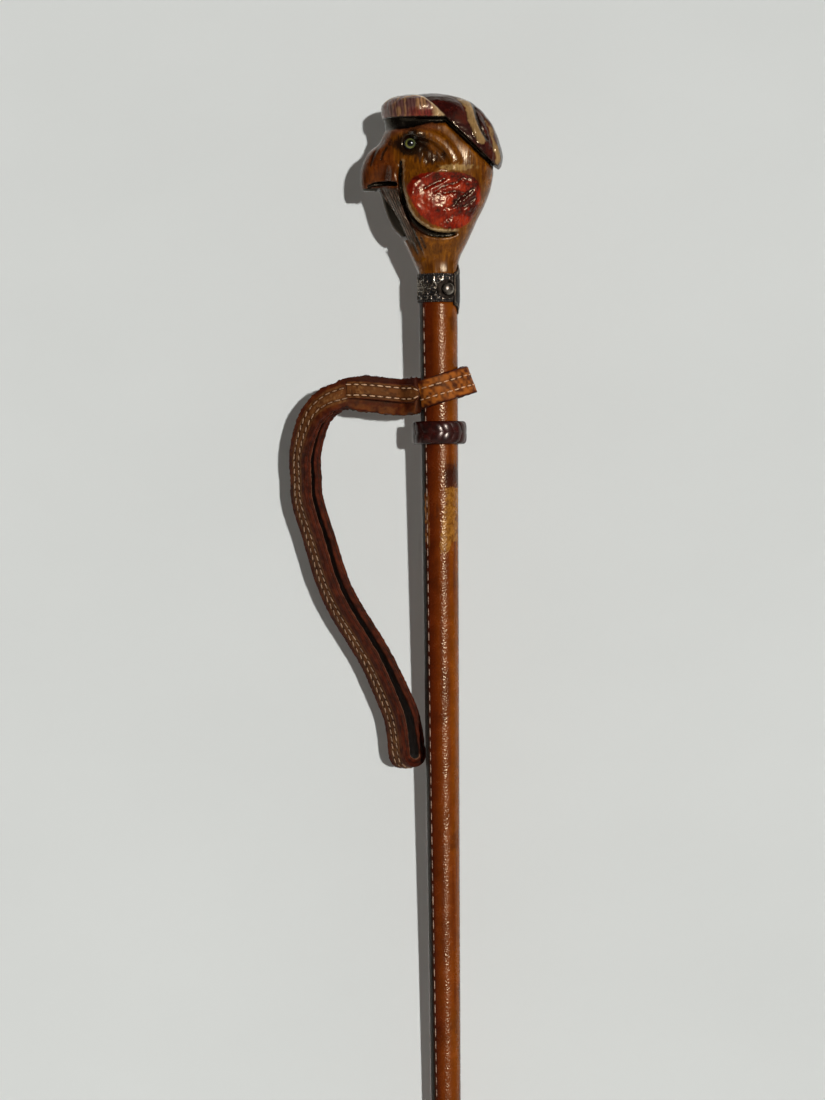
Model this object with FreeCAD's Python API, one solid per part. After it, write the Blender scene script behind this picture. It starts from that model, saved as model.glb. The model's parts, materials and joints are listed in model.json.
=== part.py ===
import FreeCAD, Part
import math
import os

Vector = FreeCAD.Vector

# The cane stands on its tip at the origin, +Z up the shaft, beak towards -X.
# Heights are measured from the tip.
cane_length = 890.0
overrun = 5.0                       # how far a cutting tool passes through

# Leather-clad shaft
leather_thickness = 0.8
leather_foot_radius = 5.5           # at the top of the ferrule
leather_middle_radius = 6.9
leather_middle_height = 431.0
leather_top_radius = 8.9            # under the collar

# Ferrule and its steel tip
ferrule_height = 34.0
ferrule_radius = 5.6
ferrule_wall = 0.9
tip_height = 4.0
tip_radius = 5.2
tip_chamfer = 0.6
tip_stem_radius = 2.0
tip_stem_length = 12.0
nail_radius = 0.6
nail_length = 3.0
nail_head_radius = 1.1              # flush heads, let into the ferrule
nail_head_thickness = 0.4
nail_below_rim = 2.5

# Plaited stop ring
ring_below_collar = 54.3
ring_width = 11.0
ring_radius = 12.65
ring_round = 3.2

# Silver collar with its cartouche
collar_width = 13.3
collar_bore_radius = 8.75
collar_wall = 0.75
collar_bead_radius = 0.45
cartouche_azimuth = 90.0            # from the viewer's side round towards +X
cartouche_half_width = 5.2
cartouche_rise = 4.5                # above the collar
cartouche_drop = 5.5                # below the collar
cartouche_shoulder_share = 0.62
cartouche_thickness = 0.7
cartouche_lift = 0.35               # over the leather

# Push button, its bush, and the wedge that lifts the rod
button_azimuth = 23.0
button_height_share = 0.45          # of the collar's width
button_radius = 2.7
button_travel = 2.4
button_proud = 2.8                  # of the cylinder, over the collar
button_dome = 0.9
button_flange_radius = 3.3
button_flange_thickness = 0.7
button_tip_reach = 1.6              # from the cane's axis at rest
button_tip_depth = 1.2              # thickness of the wedge at its tip
wedge_rise_share = 1.35             # lift of the rod per length of press
wedge_gap = 0.35
bush_radius = 3.7
bush_flange_radius = 4.5
bush_flange_thickness = 0.7
bush_running_gap = 0.05
window_gap = 0.15
flange_gap = 0.2

# Brass tube that dowels the head to the shaft and guides the rod
tube_radius = 4.2
tube_bore_radius = 2.9
tube_below_collar = 17.0
tube_above_collar = 11.5
rod_running_gap = 0.08
rod_foot_height = 8.0               # above the button's axis
rod_radius = 1.0
rod_bore_radius = 1.6
rod_tip_gap = 0.25
crank_low_share = 0.35              # of the way from the pocket floor to the lever
crank_high_share = 0.75

# Carved head
head_height = 83.3                  # from the collar to the top of the cap
neck_radius = 9.1
beak_reach = 34.4                   # from the shaft's axis to the beak's front
back_reach = 26.0                   # from the axis to the back of the head
cheek_reach = 20.0                  # half of the head's thickness
cheek_bulge = 8.5
cheek_half_length = 16.8
cheek_half_height = 13.8
cheek_centre_share = 0.14           # of the back reach
cheek_height_share = 0.3986         # of the head's height over the collar
mouth_gap = 1.5
mouth_height_share = 0.4646
mouth_back_share = 0.55
hook_share = 0.90

# Heights over the collar, reach of the front and of the back, and half thickness,
# as shares of the head's height, beak reach, back reach and cheek reach
skull_section_shares = [
    (0.076, 0.320, 0.385, 0.515),
    (0.188, 0.450, 0.546, 0.640),
    (0.285, 0.575, 0.685, 0.730),
    (0.376, 0.705, 0.835, 0.785),
    (0.460, 0.800, 0.935, 0.810),
    (0.560, 0.700, 1.000, 0.830),
    (0.664, 0.660, 1.000, 0.825),
    (0.760, 0.640, 0.904, 0.770),
    (0.850, 0.538, 0.731, 0.650),
]
# The beak's sections run from its front back to a rear edge inside the head
beak_section_shares = [
    (0.467, 0.985, -0.890, 0.075),
    (0.486, 0.997, -0.465, 0.300),
    (0.532, 1.000, -0.349, 0.415),
    (0.616, 0.971, -0.233, 0.490),
    (0.676, 0.907, -0.174, 0.515),
    (0.736, 0.794, -0.145, 0.510),
    (0.796, 0.650, -0.116, 0.450),
    (0.842, 0.565, -0.100, 0.400),
]
# Cap crown, with its front and back reach both as shares of the back reach
cap_section_shares = [
    (0.560, 0.50, 1.096, 0.775),
    (0.613, 0.65, 1.158, 0.880),
    (0.669, 0.72, 1.150, 0.950),
    (0.752, 0.78, 1.081, 0.965),
    (0.844, 0.82, 0.935, 0.900),
    (0.908, 0.84, 0.762, 0.815),
    (0.953, 0.77, 0.558, 0.675),
    (0.983, 0.58, 0.270, 0.500),
    (0.998, 0.31, 0.115, 0.225),
]
# Thick brim, with its front as a share of the brim's reach and its rear as one of the back reach
brim_section_shares = [
    (0.840, 0.940, 0.250, 0.840),
    (0.880, 1.000, 0.200, 0.910),
    (0.925, 0.975, 0.060, 0.890),
    (0.958, 0.850, -0.080, 0.740),
    (0.978, 0.640, -0.200, 0.480),
]
cap_seat_share = 0.851              # height of the seam in front
cap_knee_share = 0.154              # where the seam starts to slope, of the back reach
cap_slope_share = 0.962             # fall of the seam per length towards the back
brim_reach = 25.5
oval_points = 16

# Moving lower beak, its lever and its pin
jaw_half_width = 5.6
jaw_clearance = 0.4
jaw_round = 1.4
pivot_reach_share = 0.430           # of the beak reach
pivot_height_share = 0.4094         # of the head's height
pivot_boss_radius = 3.2
pin_radius = 1.0
pin_running_gap = 0.05
pin_cover = 1.2                     # wood left over the end of the pin
lever_length = 7.6                  # from the pivot to the rod
lever_tail = 1.0                    # past the rod
lever_root = 4.6                    # set into the beak
lever_half_width = 1.5
lever_half_thickness = 1.2
lever_eye_radius = 2.4
# Outline of the beak from its tip down the throat and back up inside the head:
# reach as a share of the beak reach, height as a share of the head's height
jaw_front_shares = [
    (0.779, 0.462), (0.750, 0.431), (0.712, 0.371), (0.660, 0.304), (0.581, 0.244), (0.477, 0.2005),
]
jaw_back_shares = [(0.532, 0.280), (0.518, 0.350)]

# Return spring over the lever, and the plug that seats it
spring_radius = 2.0
spring_wire_radius = 0.3
spring_turns = 7
spring_end_gap = 0.1
spring_chamber_height = 6.1
spring_chamber_radius = 3.4
plug_radius = 3.0
plug_stub_radius = 1.2
plug_stub_length = 3.5

# Glass eyes
eye_reach_share = 0.352
eye_height_share = 0.7107
eye_radius = 2.6
eye_depth = 3.4
eye_dome = 1.1

# Slip loop of the wrist strap
loop_bore_radius = 9.2
loop_thickness = 3.0
loop_slack = 8.0                    # how far the loop stands out past the shaft
loop_end_radius = 5.5
loop_band_width = 12.8
loop_above_ring = 12.4              # from the stop ring to the middle of the band
loop_slope_share = 0.325            # rise per length to the right

# Wrist strap: a stitched tab, two legs and the bend between them
strap_gap_to_loop = 0.5
strap_thickness = 4.0
tab_end_reach = 42.3
tab_width = 16.0
tongue_thickness = 1.6
tongue_width = 9.6
strap_width = 12.5
strap_reach = 62.0                  # furthest from the shaft's axis
strap_drop = 165.6                  # from the tab's centre line to the bend's centre
strap_depth = 7.5                   # how far behind the shaft's middle the strap hangs
strap_turn = 54.0                   # degrees that the legs twist from the tab
bend_gap = 5.2                      # between the legs at the bend
# Way of the legs: reach, drop, depth, turn and gap as shares of the five sizes above
strap_way_shares = [
    (0.682, 0.000, 0.07, 0.09, 0.06),
    (0.802, 0.016, 0.20, 0.33, 0.12),
    (0.906, 0.051, 0.40, 0.59, 0.20),
    (0.962, 0.100, 0.56, 0.78, 0.28),
    (1.000, 0.168, 0.70, 0.93, 0.34),
    (0.995, 0.230, 0.80, 1.00, 0.38),
    (0.984, 0.295, 0.90, 1.00, 0.42),
    (0.897, 0.405, 1.00, 1.00, 0.46),
    (0.810, 0.515, 1.00, 1.00, 0.50),
    (0.716, 0.593, 1.00, 1.00, 0.52),
    (0.589, 0.671, 1.00, 1.00, 0.55),
    (0.482, 0.740, 1.00, 1.00, 0.60),
    (0.377, 0.826, 1.00, 1.00, 0.70),
    (0.297, 0.904, 1.00, 1.00, 0.86),
    (0.261, 1.000, 1.00, 1.00, 1.00),
]

# Places that several pieces share
collar_top = cane_length - head_height
collar_height = collar_top - collar_width
collar_radius = collar_bore_radius + collar_wall
ring_height = collar_height - ring_below_collar - ring_width
loop_height = ring_height + ring_width + loop_above_ring
button_height = collar_height + button_height_share * collar_width
pivot_x = -pivot_reach_share * beak_reach
pivot_z = collar_top + pivot_height_share * head_height
rod_tip_x = pivot_x + lever_length
mouth_z = collar_top + mouth_height_share * head_height
pocket_half_width = jaw_half_width + jaw_clearance
pocket_roof_z = mouth_z + mouth_gap
spring_seat_z = pocket_roof_z + spring_chamber_height
cap_seat_z = collar_top + cap_seat_share * head_height
cap_knee_x = cap_knee_share * back_reach


def leather_radius(z):
    """Outer radius of the leather at a height, from its three named sizes."""
    if z < leather_middle_height:
        share = (z - ferrule_height) / (leather_middle_height - ferrule_height)
        return leather_foot_radius + share * (leather_middle_radius - leather_foot_radius)
    share = (z - leather_middle_height) / (collar_height - leather_middle_height)
    return leather_middle_radius + share * (leather_top_radius - leather_middle_radius)


def turned(profile):
    """Solid of revolution about Z of a closed outline of (radius, height) points."""
    points = [Vector(radius, 0, height) for radius, height in profile]
    face = Part.Face(Part.makePolygon(points + points[:1]))
    return face.revolve(Vector(0, 0, 0), Vector(0, 0, 1), 360)


def rod_along(radius, start, end):
    """Round bar between two points."""
    way = end - start
    return Part.makeCylinder(radius, way.Length, start, way)


def tube_about_axis(outer, inner, low, high):
    """Plain tube round the cane's axis."""
    return turned([(inner, low), (outer, low), (outer, high), (inner, high)])


def side_plate(outline, half_width):
    """Plate between two planes of equal Y, from an outline of (x, z) points."""
    points = [Vector(x, -half_width, z) for x, z in outline]
    face = Part.Face(Part.makePolygon(points + points[:1]))
    return face.extrude(Vector(0, 2 * half_width, 0))


def facing(shape, azimuth):
    """Turn a piece built along +X to an azimuth measured from the viewer's side."""
    turned_shape = shape.copy()
    turned_shape.rotate(Vector(0, 0, 0), Vector(0, 0, 1), azimuth - 90)
    return turned_shape


def oval(z, front, back, half_width):
    """Level oval wire that reaches front towards -X and back towards +X."""
    centre = (back - front) / 2
    half_length = (back + front) / 2
    points = []
    for step in range(oval_points):
        angle = 2 * math.pi * step / oval_points
        points.append(Vector(centre + half_length * math.cos(angle), half_width * math.sin(angle), z))
    curve = Part.BSplineCurve()
    curve.interpolate(Points=points, PeriodicFlag=True)
    return Part.Wire(curve.toShape())


def stacked(section_shares, front_reach, rear_reach, first=None):
    """Smooth solid through level ovals given as shares."""
    wires = [first] if first else []
    for height_share, front_share, back_share, width_share in section_shares:
        z = collar_top + height_share * head_height
        wires.append(oval(z, front_share * front_reach, back_share * rear_reach, width_share * cheek_reach))
    return Part.makeLoft(wires, True, False)


def ellipsoid(centre, half_x, half_y, half_z):
    """Ellipsoid with its axes along X, Y and Z."""
    stretch = FreeCAD.Matrix()
    stretch.scale(Vector(half_x, half_y, half_z))
    shape = Part.makeSphere(1).transformGeometry(stretch)
    shape.translate(centre)
    return shape


def skull_side(x, z):
    """Half thickness of the skull at a place in the side view."""
    rows = [(collar_top + h * head_height, f * beak_reach, b * back_reach, w * cheek_reach)
            for h, f, b, w in skull_section_shares]
    for low, high in zip(rows, rows[1:]):
        if low[0] <= z <= high[0]:
            share = (z - low[0]) / (high[0] - low[0])
            front, back, width = [low[i] + share * (high[i] - low[i]) for i in (1, 2, 3)]
            along = (x - (back - front) / 2) / ((back + front) / 2)
            return width * math.sqrt(max(1 - along ** 2, 0))
    return 0


def jaw_point(shares):
    """Point of the side view from a share of the beak reach and one of the head's height."""
    return -shares[0] * beak_reach, collar_top + shares[1] * head_height


def above_seam():
    """Everything over the seam between the head and the cap."""
    far = beak_reach + back_reach
    top = cane_length + overrun
    end_x = cap_knee_x + far
    outline = [(-far, cap_seat_z), (cap_knee_x, cap_seat_z), (end_x, cap_seat_z - cap_slope_share * far),
               (end_x, top), (-far, top)]
    return side_plate(outline, 2 * cheek_reach)


# Shaft, leather and ferrule
def shaft_core():
    bore = ferrule_radius - ferrule_wall
    middle = leather_middle_radius - leather_thickness
    top = leather_top_radius - leather_thickness
    core = turned([(0, tip_height), (bore, tip_height), (bore, ferrule_height),
                   (middle, leather_middle_height), (top, collar_height), (0, collar_height)])
    stem = Part.makeCylinder(tip_stem_radius, tip_stem_length, Vector(0, 0, tip_height))
    core = core.cut([stem, dowel_bar()])
    return core.cut(nails())


def dowel_bar():
    low = collar_height - tube_below_collar
    return Part.makeCylinder(tube_radius, tube_below_collar + tube_above_collar, Vector(0, 0, low))


def leather_cover():
    foot = ferrule_radius - ferrule_wall
    middle = leather_middle_radius - leather_thickness
    top = leather_top_radius - leather_thickness
    return turned([(foot, ferrule_height), (leather_foot_radius, ferrule_height),
                   (leather_middle_radius, leather_middle_height), (leather_top_radius, collar_height),
                   (top, collar_height), (middle, leather_middle_height)])


def ferrule():
    bore = ferrule_radius - ferrule_wall
    shell = tube_about_axis(ferrule_radius, bore, tip_height, ferrule_height)
    return shell.cut(nails())


def ferrule_tip():
    plate = turned([(0, 0), (tip_radius - tip_chamfer, 0), (tip_radius, tip_chamfer),
                    (tip_radius, tip_height), (0, tip_height)])
    stem = Part.makeCylinder(tip_stem_radius, tip_stem_length, Vector(0, 0, tip_height))
    return plate.fuse(stem).removeSplitter()


def nails():
    """Two nails with flush heads, one towards the viewer and one behind."""
    z = ferrule_height - nail_below_rim
    inside = Part.makeCylinder(ferrule_radius, ferrule_height)
    pieces = []
    for side in (-1, 1):
        start = Vector(0, side * (ferrule_radius - nail_length), z)
        seat = Vector(0, side * (ferrule_radius - nail_head_thickness), z)
        end = Vector(0, side * 2 * ferrule_radius, z)
        nail = rod_along(nail_radius, start, end).fuse(rod_along(nail_head_radius, seat, end))
        pieces.append(nail.common(inside).removeSplitter())
    return pieces


def ferrule_nails():
    return Part.makeCompound(nails())


def stop_ring():
    low = ring_height
    high = ring_height + ring_width
    inner_low = Vector(leather_radius(low), 0, low)
    inner_high = Vector(leather_radius(high), 0, high)
    r = ring_round
    diagonal = r * (1 - math.sqrt(0.5))
    a = Vector(ring_radius - r, 0, low)
    b = Vector(ring_radius, 0, low + r)
    c = Vector(ring_radius, 0, high - r)
    d = Vector(ring_radius - r, 0, high)
    low_mid = Vector(ring_radius - diagonal, 0, low + diagonal)
    high_mid = Vector(ring_radius - diagonal, 0, high - diagonal)
    edges = [Part.LineSegment(inner_low, a), Part.Arc(a, low_mid, b), Part.LineSegment(b, c),
             Part.Arc(c, high_mid, d), Part.LineSegment(d, inner_high),
             Part.LineSegment(inner_high, inner_low)]
    face = Part.Face(Part.Wire([edge.toShape() for edge in edges]))
    return face.revolve(Vector(0, 0, 0), Vector(0, 0, 1), 360)


# Collar, cartouche, button and bush, built along +X and then turned to their azimuth
def bush_bore():
    z = button_height
    return rod_along(bush_radius, Vector(bush_inner_end(), 0, z), Vector(2 * collar_radius, 0, z))


def bush_inner_end():
    return tube_radius + button_travel + 2 * flange_gap + button_flange_thickness + flange_gap


def collar():
    band = tube_about_axis(collar_radius, collar_bore_radius, collar_height, collar_top)
    bead_centre = collar_radius - collar_bead_radius / 3
    for z in (collar_height + collar_bead_radius, collar_top - collar_bead_radius):
        bead = Part.makeTorus(bead_centre, collar_bead_radius, Vector(0, 0, z))
        core = Part.makeCylinder(collar_bore_radius, collar_width, Vector(0, 0, collar_height))
        band = band.fuse(bead.cut(core))
    return band.removeSplitter().cut(facing(bush_bore(), button_azimuth))


def collar_cartouche(collar_shape, head_shape):
    low = collar_height - cartouche_drop
    high = collar_top + cartouche_rise
    middle = (low + high) / 2
    shoulder = cartouche_shoulder_share * (high - low) / 2
    half = cartouche_half_width
    outline = [(0, low), (half, middle - shoulder), (half, middle + shoulder),
               (0, high), (-half, middle + shoulder), (-half, middle - shoulder)]
    points = [Vector(collar_bore_radius / 2, y, z) for y, z in outline]
    prism = Part.Face(Part.makePolygon(points + points[:1])).extrude(Vector(2 * collar_radius, 0, 0))
    foot = leather_top_radius + cartouche_lift
    top = neck_radius + cartouche_rise / 5
    t = cartouche_thickness
    shell = turned([(foot, low - t), (collar_radius, collar_height), (collar_radius, collar_top),
                    (top, high + t), (top + t, high + t), (collar_radius + t, collar_top),
                    (collar_radius + t, collar_height), (foot + t, low - t)])
    return facing(prism.common(shell), cartouche_azimuth).cut([collar_shape, head_shape])


def button_bush():
    z = button_height
    outer = collar_radius + bush_flange_thickness
    margin = collar_width / 2
    inside = Part.makeCylinder(outer, 2 * collar_width, Vector(0, 0, collar_height - margin))
    barrel = bush_bore().common(inside)
    saddle = tube_about_axis(outer, collar_radius, collar_height - margin, collar_top + margin)
    flange = rod_along(bush_flange_radius, Vector(0, 0, z), Vector(2 * outer, 0, z)).common(saddle)
    hole = rod_along(button_radius + bush_running_gap, Vector(0, 0, z), Vector(2 * outer, 0, z))
    return facing(barrel.fuse(flange).removeSplitter().cut(hole), button_azimuth)


def wedge_height(u):
    """Height of the wedge's ramp at a distance from the cane's axis along the button."""
    return button_height - button_radius + button_tip_depth + wedge_rise_share * (u - button_tip_reach)


def push_button():
    z = button_height
    crown = collar_radius + button_proud
    stem = rod_along(button_radius, Vector(button_tip_reach, 0, z), Vector(crown, 0, z))
    top = z + button_radius + overrun
    start = button_tip_reach - overrun
    end = button_tip_reach + (2 * button_radius - button_tip_depth) / wedge_rise_share + overrun
    ramp = side_plate([(start, wedge_height(start)), (end, wedge_height(end)), (end, top + overrun),
                       (start, top + overrun)], button_radius + overrun)
    stem = stem.cut(ramp)
    flange_end = bush_inner_end() - flange_gap
    flange = rod_along(button_flange_radius, Vector(flange_end - button_flange_thickness, 0, z),
                       Vector(flange_end, 0, z))
    ball_radius = (button_radius ** 2 + button_dome ** 2) / (2 * button_dome)
    ball = Part.makeSphere(ball_radius, Vector(crown + button_dome - ball_radius, 0, z))
    dome = ball.common(rod_along(button_radius, Vector(crown, 0, z), Vector(crown + button_dome, 0, z)))
    return facing(stem.fuse([flange, dome]).removeSplitter(), button_azimuth)


def mechanism_tube():
    low = collar_height - tube_below_collar
    high = collar_height + tube_above_collar
    tube = tube_about_axis(tube_radius, tube_bore_radius, low, high + collar_width / 2)
    window = rod_along(button_radius + window_gap, Vector(0, 0, button_height),
                       Vector(2 * tube_radius, 0, button_height))
    return tube.cut(facing(window, button_azimuth))


def push_rod():
    foot_radius = tube_bore_radius - rod_running_gap
    foot_top = button_height + rod_foot_height
    low = wedge_height(-foot_radius) - overrun
    foot = rod_along(foot_radius, Vector(0, 0, low), Vector(0, 0, foot_top))
    wide = 2 * foot_radius
    under = side_plate([(-wide, wedge_height(-wide) + wedge_gap), (wide, wedge_height(wide) + wedge_gap),
                        (wide, low - overrun), (-wide, low - overrun)], wide)
    foot = foot.cut(under)
    lever_under = pivot_z - lever_half_thickness
    tip_centre = lever_under - rod_tip_gap - rod_radius
    floor = pocket_floor()
    crank_low = floor + crank_low_share * (tip_centre - floor)
    crank_high = floor + crank_high_share * (tip_centre - floor)
    corners = [Vector(0, 0, foot_top - rod_radius), Vector(0, 0, crank_low),
               Vector(rod_tip_x, 0, crank_high), Vector(rod_tip_x, 0, tip_centre)]
    bars = [rod_along(rod_radius, start, end) for start, end in zip(corners, corners[1:])]
    balls = [Part.makeSphere(rod_radius, corner) for corner in corners[1:]]
    return facing(foot, button_azimuth).fuse(bars + balls).removeSplitter()


# Head, cap, lower beak and what moves it
def pocket_floor():
    bottom_x, bottom_z = jaw_point(jaw_front_shares[-1])
    return pivot_z - math.hypot(bottom_x - pivot_x, bottom_z - pivot_z) - jaw_clearance


def pocket():
    """Slot in the throat for the lower beak, open to the front, and the spring's chamber over it."""
    tip_x = jaw_point(jaw_front_shares[0])[0]
    front = tip_x - 4 * jaw_clearance
    back = 2 * rod_bore_radius
    floor = pocket_floor()
    roof = pocket_roof_z
    slot = side_plate([(front, floor), (back, floor), (back, roof), (front, roof)], pocket_half_width)
    chamber = rod_along(spring_chamber_radius, Vector(rod_tip_x, 0, roof - overrun),
                        Vector(rod_tip_x, 0, spring_seat_z))
    return [slot, chamber]


def pin_half_length():
    return skull_side(pivot_x, pivot_z) - pin_cover


def eye_seat():
    x = -eye_reach_share * beak_reach
    z = collar_top + eye_height_share * head_height
    return x, skull_side(x, z), z


def eye(side):
    x, y, z = eye_seat()
    rim = y + eye_dome / 4
    body = rod_along(eye_radius, Vector(x, side * (rim - eye_depth), z), Vector(x, side * rim, z))
    ball_radius = (eye_radius ** 2 + eye_dome ** 2) / (2 * eye_dome)
    ball = Part.makeSphere(ball_radius, Vector(x, side * (rim + eye_dome - ball_radius), z))
    cover = rod_along(eye_radius, Vector(x, side * rim, z), Vector(x, side * (rim + eye_dome), z))
    return body.fuse(ball.common(cover)).removeSplitter()


def head_carving():
    first = oval(collar_top, neck_radius, neck_radius, neck_radius)
    skull = stacked(skull_section_shares, beak_reach, back_reach, first)
    beak = stacked(beak_section_shares, beak_reach, beak_reach)
    cheek_x = cheek_centre_share * back_reach
    cheek_z = collar_top + cheek_height_share * head_height
    cheeks = [ellipsoid(Vector(cheek_x, side * (cheek_reach - cheek_bulge), cheek_z),
                        cheek_half_length, cheek_bulge, cheek_half_height) for side in (-1, 1)]
    spigot = Part.makeCylinder(collar_bore_radius, collar_width, Vector(0, 0, collar_height))
    head = skull.fuse([beak, spigot] + cheeks)
    head = head.cut(above_seam())

    tube = Part.makeCylinder(tube_radius, tube_above_collar + collar_width / 2, Vector(0, 0, collar_height))
    rod_way = Part.makeCylinder(rod_bore_radius, head_height / 2, Vector(0, 0, collar_height))
    button_way = rod_along(button_flange_radius + flange_gap, Vector(0, 0, button_height),
                           Vector(bush_inner_end(), 0, button_height))
    plug = rod_along(plug_radius, Vector(rod_tip_x, 0, spring_seat_z - overrun),
                     Vector(rod_tip_x, 0, cane_length))
    half = pin_half_length()
    pin = rod_along(pin_radius, Vector(pivot_x, -half, pivot_z), Vector(pivot_x, half, pivot_z))
    slit_front = -hook_share * beak_reach
    slit_back = -mouth_back_share * beak_reach
    slit = side_plate([(slit_front, mouth_z), (slit_back, mouth_z), (slit_back, pocket_roof_z),
                       (slit_front, pocket_roof_z)], 2 * cheek_reach)
    tools = pocket() + [tube, rod_way, facing(button_way, button_azimuth),
                        facing(bush_bore(), button_azimuth), plug, pin, slit, eye(-1), eye(1)]
    for tool in tools:
        head = head.cut(tool)
    return head


def cap():
    crown = stacked(cap_section_shares, back_reach, back_reach)
    brim = stacked(brim_section_shares, brim_reach, back_reach)
    return crown.fuse(brim).common(above_seam())


def lever_bar():
    start = pivot_x - lever_root
    end = rod_tip_x + lever_tail
    t = lever_half_thickness
    bar = side_plate([(start, pivot_z - t), (end, pivot_z - t), (end, pivot_z + t), (start, pivot_z + t)],
                     lever_half_width)
    eye_disc = rod_along(lever_eye_radius, Vector(pivot_x, -lever_half_width, pivot_z),
                         Vector(pivot_x, lever_half_width, pivot_z))
    return bar.fuse(eye_disc).removeSplitter()


def pin_hole():
    return rod_along(pin_radius + pin_running_gap, Vector(pivot_x, -2 * jaw_half_width, pivot_z),
                     Vector(pivot_x, 2 * jaw_half_width, pivot_z))


def beak_lever():
    return lever_bar().cut(pin_hole())


def lower_beak():
    front = [Vector(x, 0, z) for x, z in map(jaw_point, jaw_front_shares)]
    back = [Vector(x, 0, z) for x, z in map(jaw_point, jaw_back_shares)]
    throat = Part.BSplineCurve()
    throat.interpolate(front)
    boss_x = pivot_x + pivot_boss_radius * math.sqrt(0.5)
    boss_top = Vector(boss_x, 0, front[0].z)
    boss_low = Vector(boss_x, 0, pivot_z - pivot_boss_radius * math.sqrt(0.5))
    lines = [front[-1]] + back + [boss_low, boss_top, front[0]]
    edges = [throat.toShape()] + [Part.makeLine(start, end) for start, end in zip(lines, lines[1:])]
    face = Part.Face(Part.Wire(edges))
    face.translate(Vector(0, -jaw_half_width, 0))
    beak = face.extrude(Vector(0, 2 * jaw_half_width, 0))
    boss = rod_along(pivot_boss_radius, Vector(pivot_x, -jaw_half_width, pivot_z),
                     Vector(pivot_x, jaw_half_width, pivot_z))
    beak = beak.fuse(boss).removeSplitter()
    rims = [edge for edge in beak.Edges if follows_throat(edge, front)]
    beak = beak.makeFillet(jaw_round, rims)
    return beak.cut([lever_bar(), pin_hole()])


def follows_throat(edge, front):
    """True for the two long curved edges down the front of the lower beak."""
    if not isinstance(edge.Curve, Part.BSplineCurve):
        return False
    ends = sorted(vertex.Point.z for vertex in edge.Vertexes)
    return abs(ends[0] - front[-1].z) < jaw_clearance and abs(ends[-1] - front[0].z) < jaw_clearance


def beak_pin():
    half = pin_half_length()
    return rod_along(pin_radius, Vector(pivot_x, -half, pivot_z), Vector(pivot_x, half, pivot_z))


def spring_plug():
    """Turned plug with a stub for the spring, level with the seam under the cap."""
    body = rod_along(plug_radius, Vector(rod_tip_x, 0, spring_seat_z), Vector(rod_tip_x, 0, cap_seat_z))
    stub = rod_along(plug_stub_radius, Vector(rod_tip_x, 0, spring_seat_z - plug_stub_length),
                     Vector(rod_tip_x, 0, spring_seat_z))
    return body.fuse(stub).removeSplitter()


def arc_edge(start, tangent, end):
    """Arc from a point along a tangent to an end point."""
    chord = end - start
    along = chord / chord.Length
    cosine = max(-1.0, min(1.0, tangent.dot(along)))
    side = tangent - along * cosine
    rise = chord.Length / 2 * math.tan(math.acos(cosine) / 2)
    middle = start + chord / 2 + side / side.Length * rise
    return Part.Arc(start, middle, end).toShape()


def biarc(start, start_tangent, end, end_tangent):
    """Two arcs that join two points with the given unit tangents."""
    way = end - start
    total = start_tangent + end_tangent
    spread = 2 * (1 - start_tangent.dot(end_tangent))
    reach = (-way.dot(total) + math.sqrt(way.dot(total) ** 2 + spread * way.dot(way))) / spread
    joint = (start + start_tangent * reach + end - end_tangent * reach) / 2
    first = arc_edge(start, start_tangent, joint)
    back = arc_edge(end, end_tangent * -1, joint)
    return [first, back]


def return_spring():
    low = pivot_z + lever_half_thickness + spring_end_gap + spring_wire_radius
    high = spring_seat_z - spring_end_gap - spring_wire_radius
    rise = (high - low) / spring_turns
    print("spring: least gap between its turns", round(rise - 2 * spring_wire_radius, 2), "mm")
    slope = rise / (2 * math.pi * spring_radius)
    flat = 1 / math.sqrt(1 + slope ** 2)
    points = []
    tangents = []
    for step in range(4 * spring_turns + 1):
        angle = step * math.pi / 2
        points.append(Vector(rod_tip_x + spring_radius * math.cos(angle), spring_radius * math.sin(angle),
                             low + rise * step / 4))
        tangents.append(Vector(-math.sin(angle) * flat, math.cos(angle) * flat, slope * flat))
    edges = []
    for i in range(len(points) - 1):
        edges += biarc(points[i], tangents[i], points[i + 1], tangents[i + 1])
    path = Part.Wire(edges)
    section = Part.Wire(Part.Circle(points[0], tangents[0], spring_wire_radius).toShape())
    return path.makePipeShell([section], True, False)


# Wrist strap
def loop_outline(bore, end_radius):
    """Face of an eccentric loop: a round end at the shaft and a smaller one to the right."""
    lean = (bore - end_radius) / loop_slack
    up = math.sqrt(1 - lean ** 2)
    a = Vector(bore * lean, bore * up, 0)
    b = Vector(bore * lean, -bore * up, 0)
    c = Vector(loop_slack + end_radius * lean, -end_radius * up, 0)
    d = Vector(loop_slack + end_radius * lean, end_radius * up, 0)
    edges = [Part.Arc(a, Vector(-bore, 0, 0), b), Part.LineSegment(b, c),
             Part.Arc(c, Vector(loop_slack + end_radius, 0, 0), d), Part.LineSegment(d, a)]
    return Part.Face(Part.Wire([edge.toShape() for edge in edges]))


def shaft_loop():
    height = 4 * loop_band_width
    outer = loop_outline(loop_bore_radius + loop_thickness, loop_end_radius + loop_thickness)
    inner = loop_outline(loop_bore_radius, loop_end_radius)
    ring = outer.cut(inner).extrude(Vector(0, 0, height))
    ring.translate(Vector(0, 0, loop_height - height / 2))
    left = -2 * loop_bore_radius
    right = 3 * loop_bore_radius
    half = loop_band_width / 2

    def middle(x):
        return loop_height + loop_slope_share * (x + loop_bore_radius)

    slab = side_plate([(left, middle(left) - half), (right, middle(right) - half),
                       (right, middle(right) + half), (left, middle(left) + half)], 2 * loop_bore_radius)
    return ring.common(slab)


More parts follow.
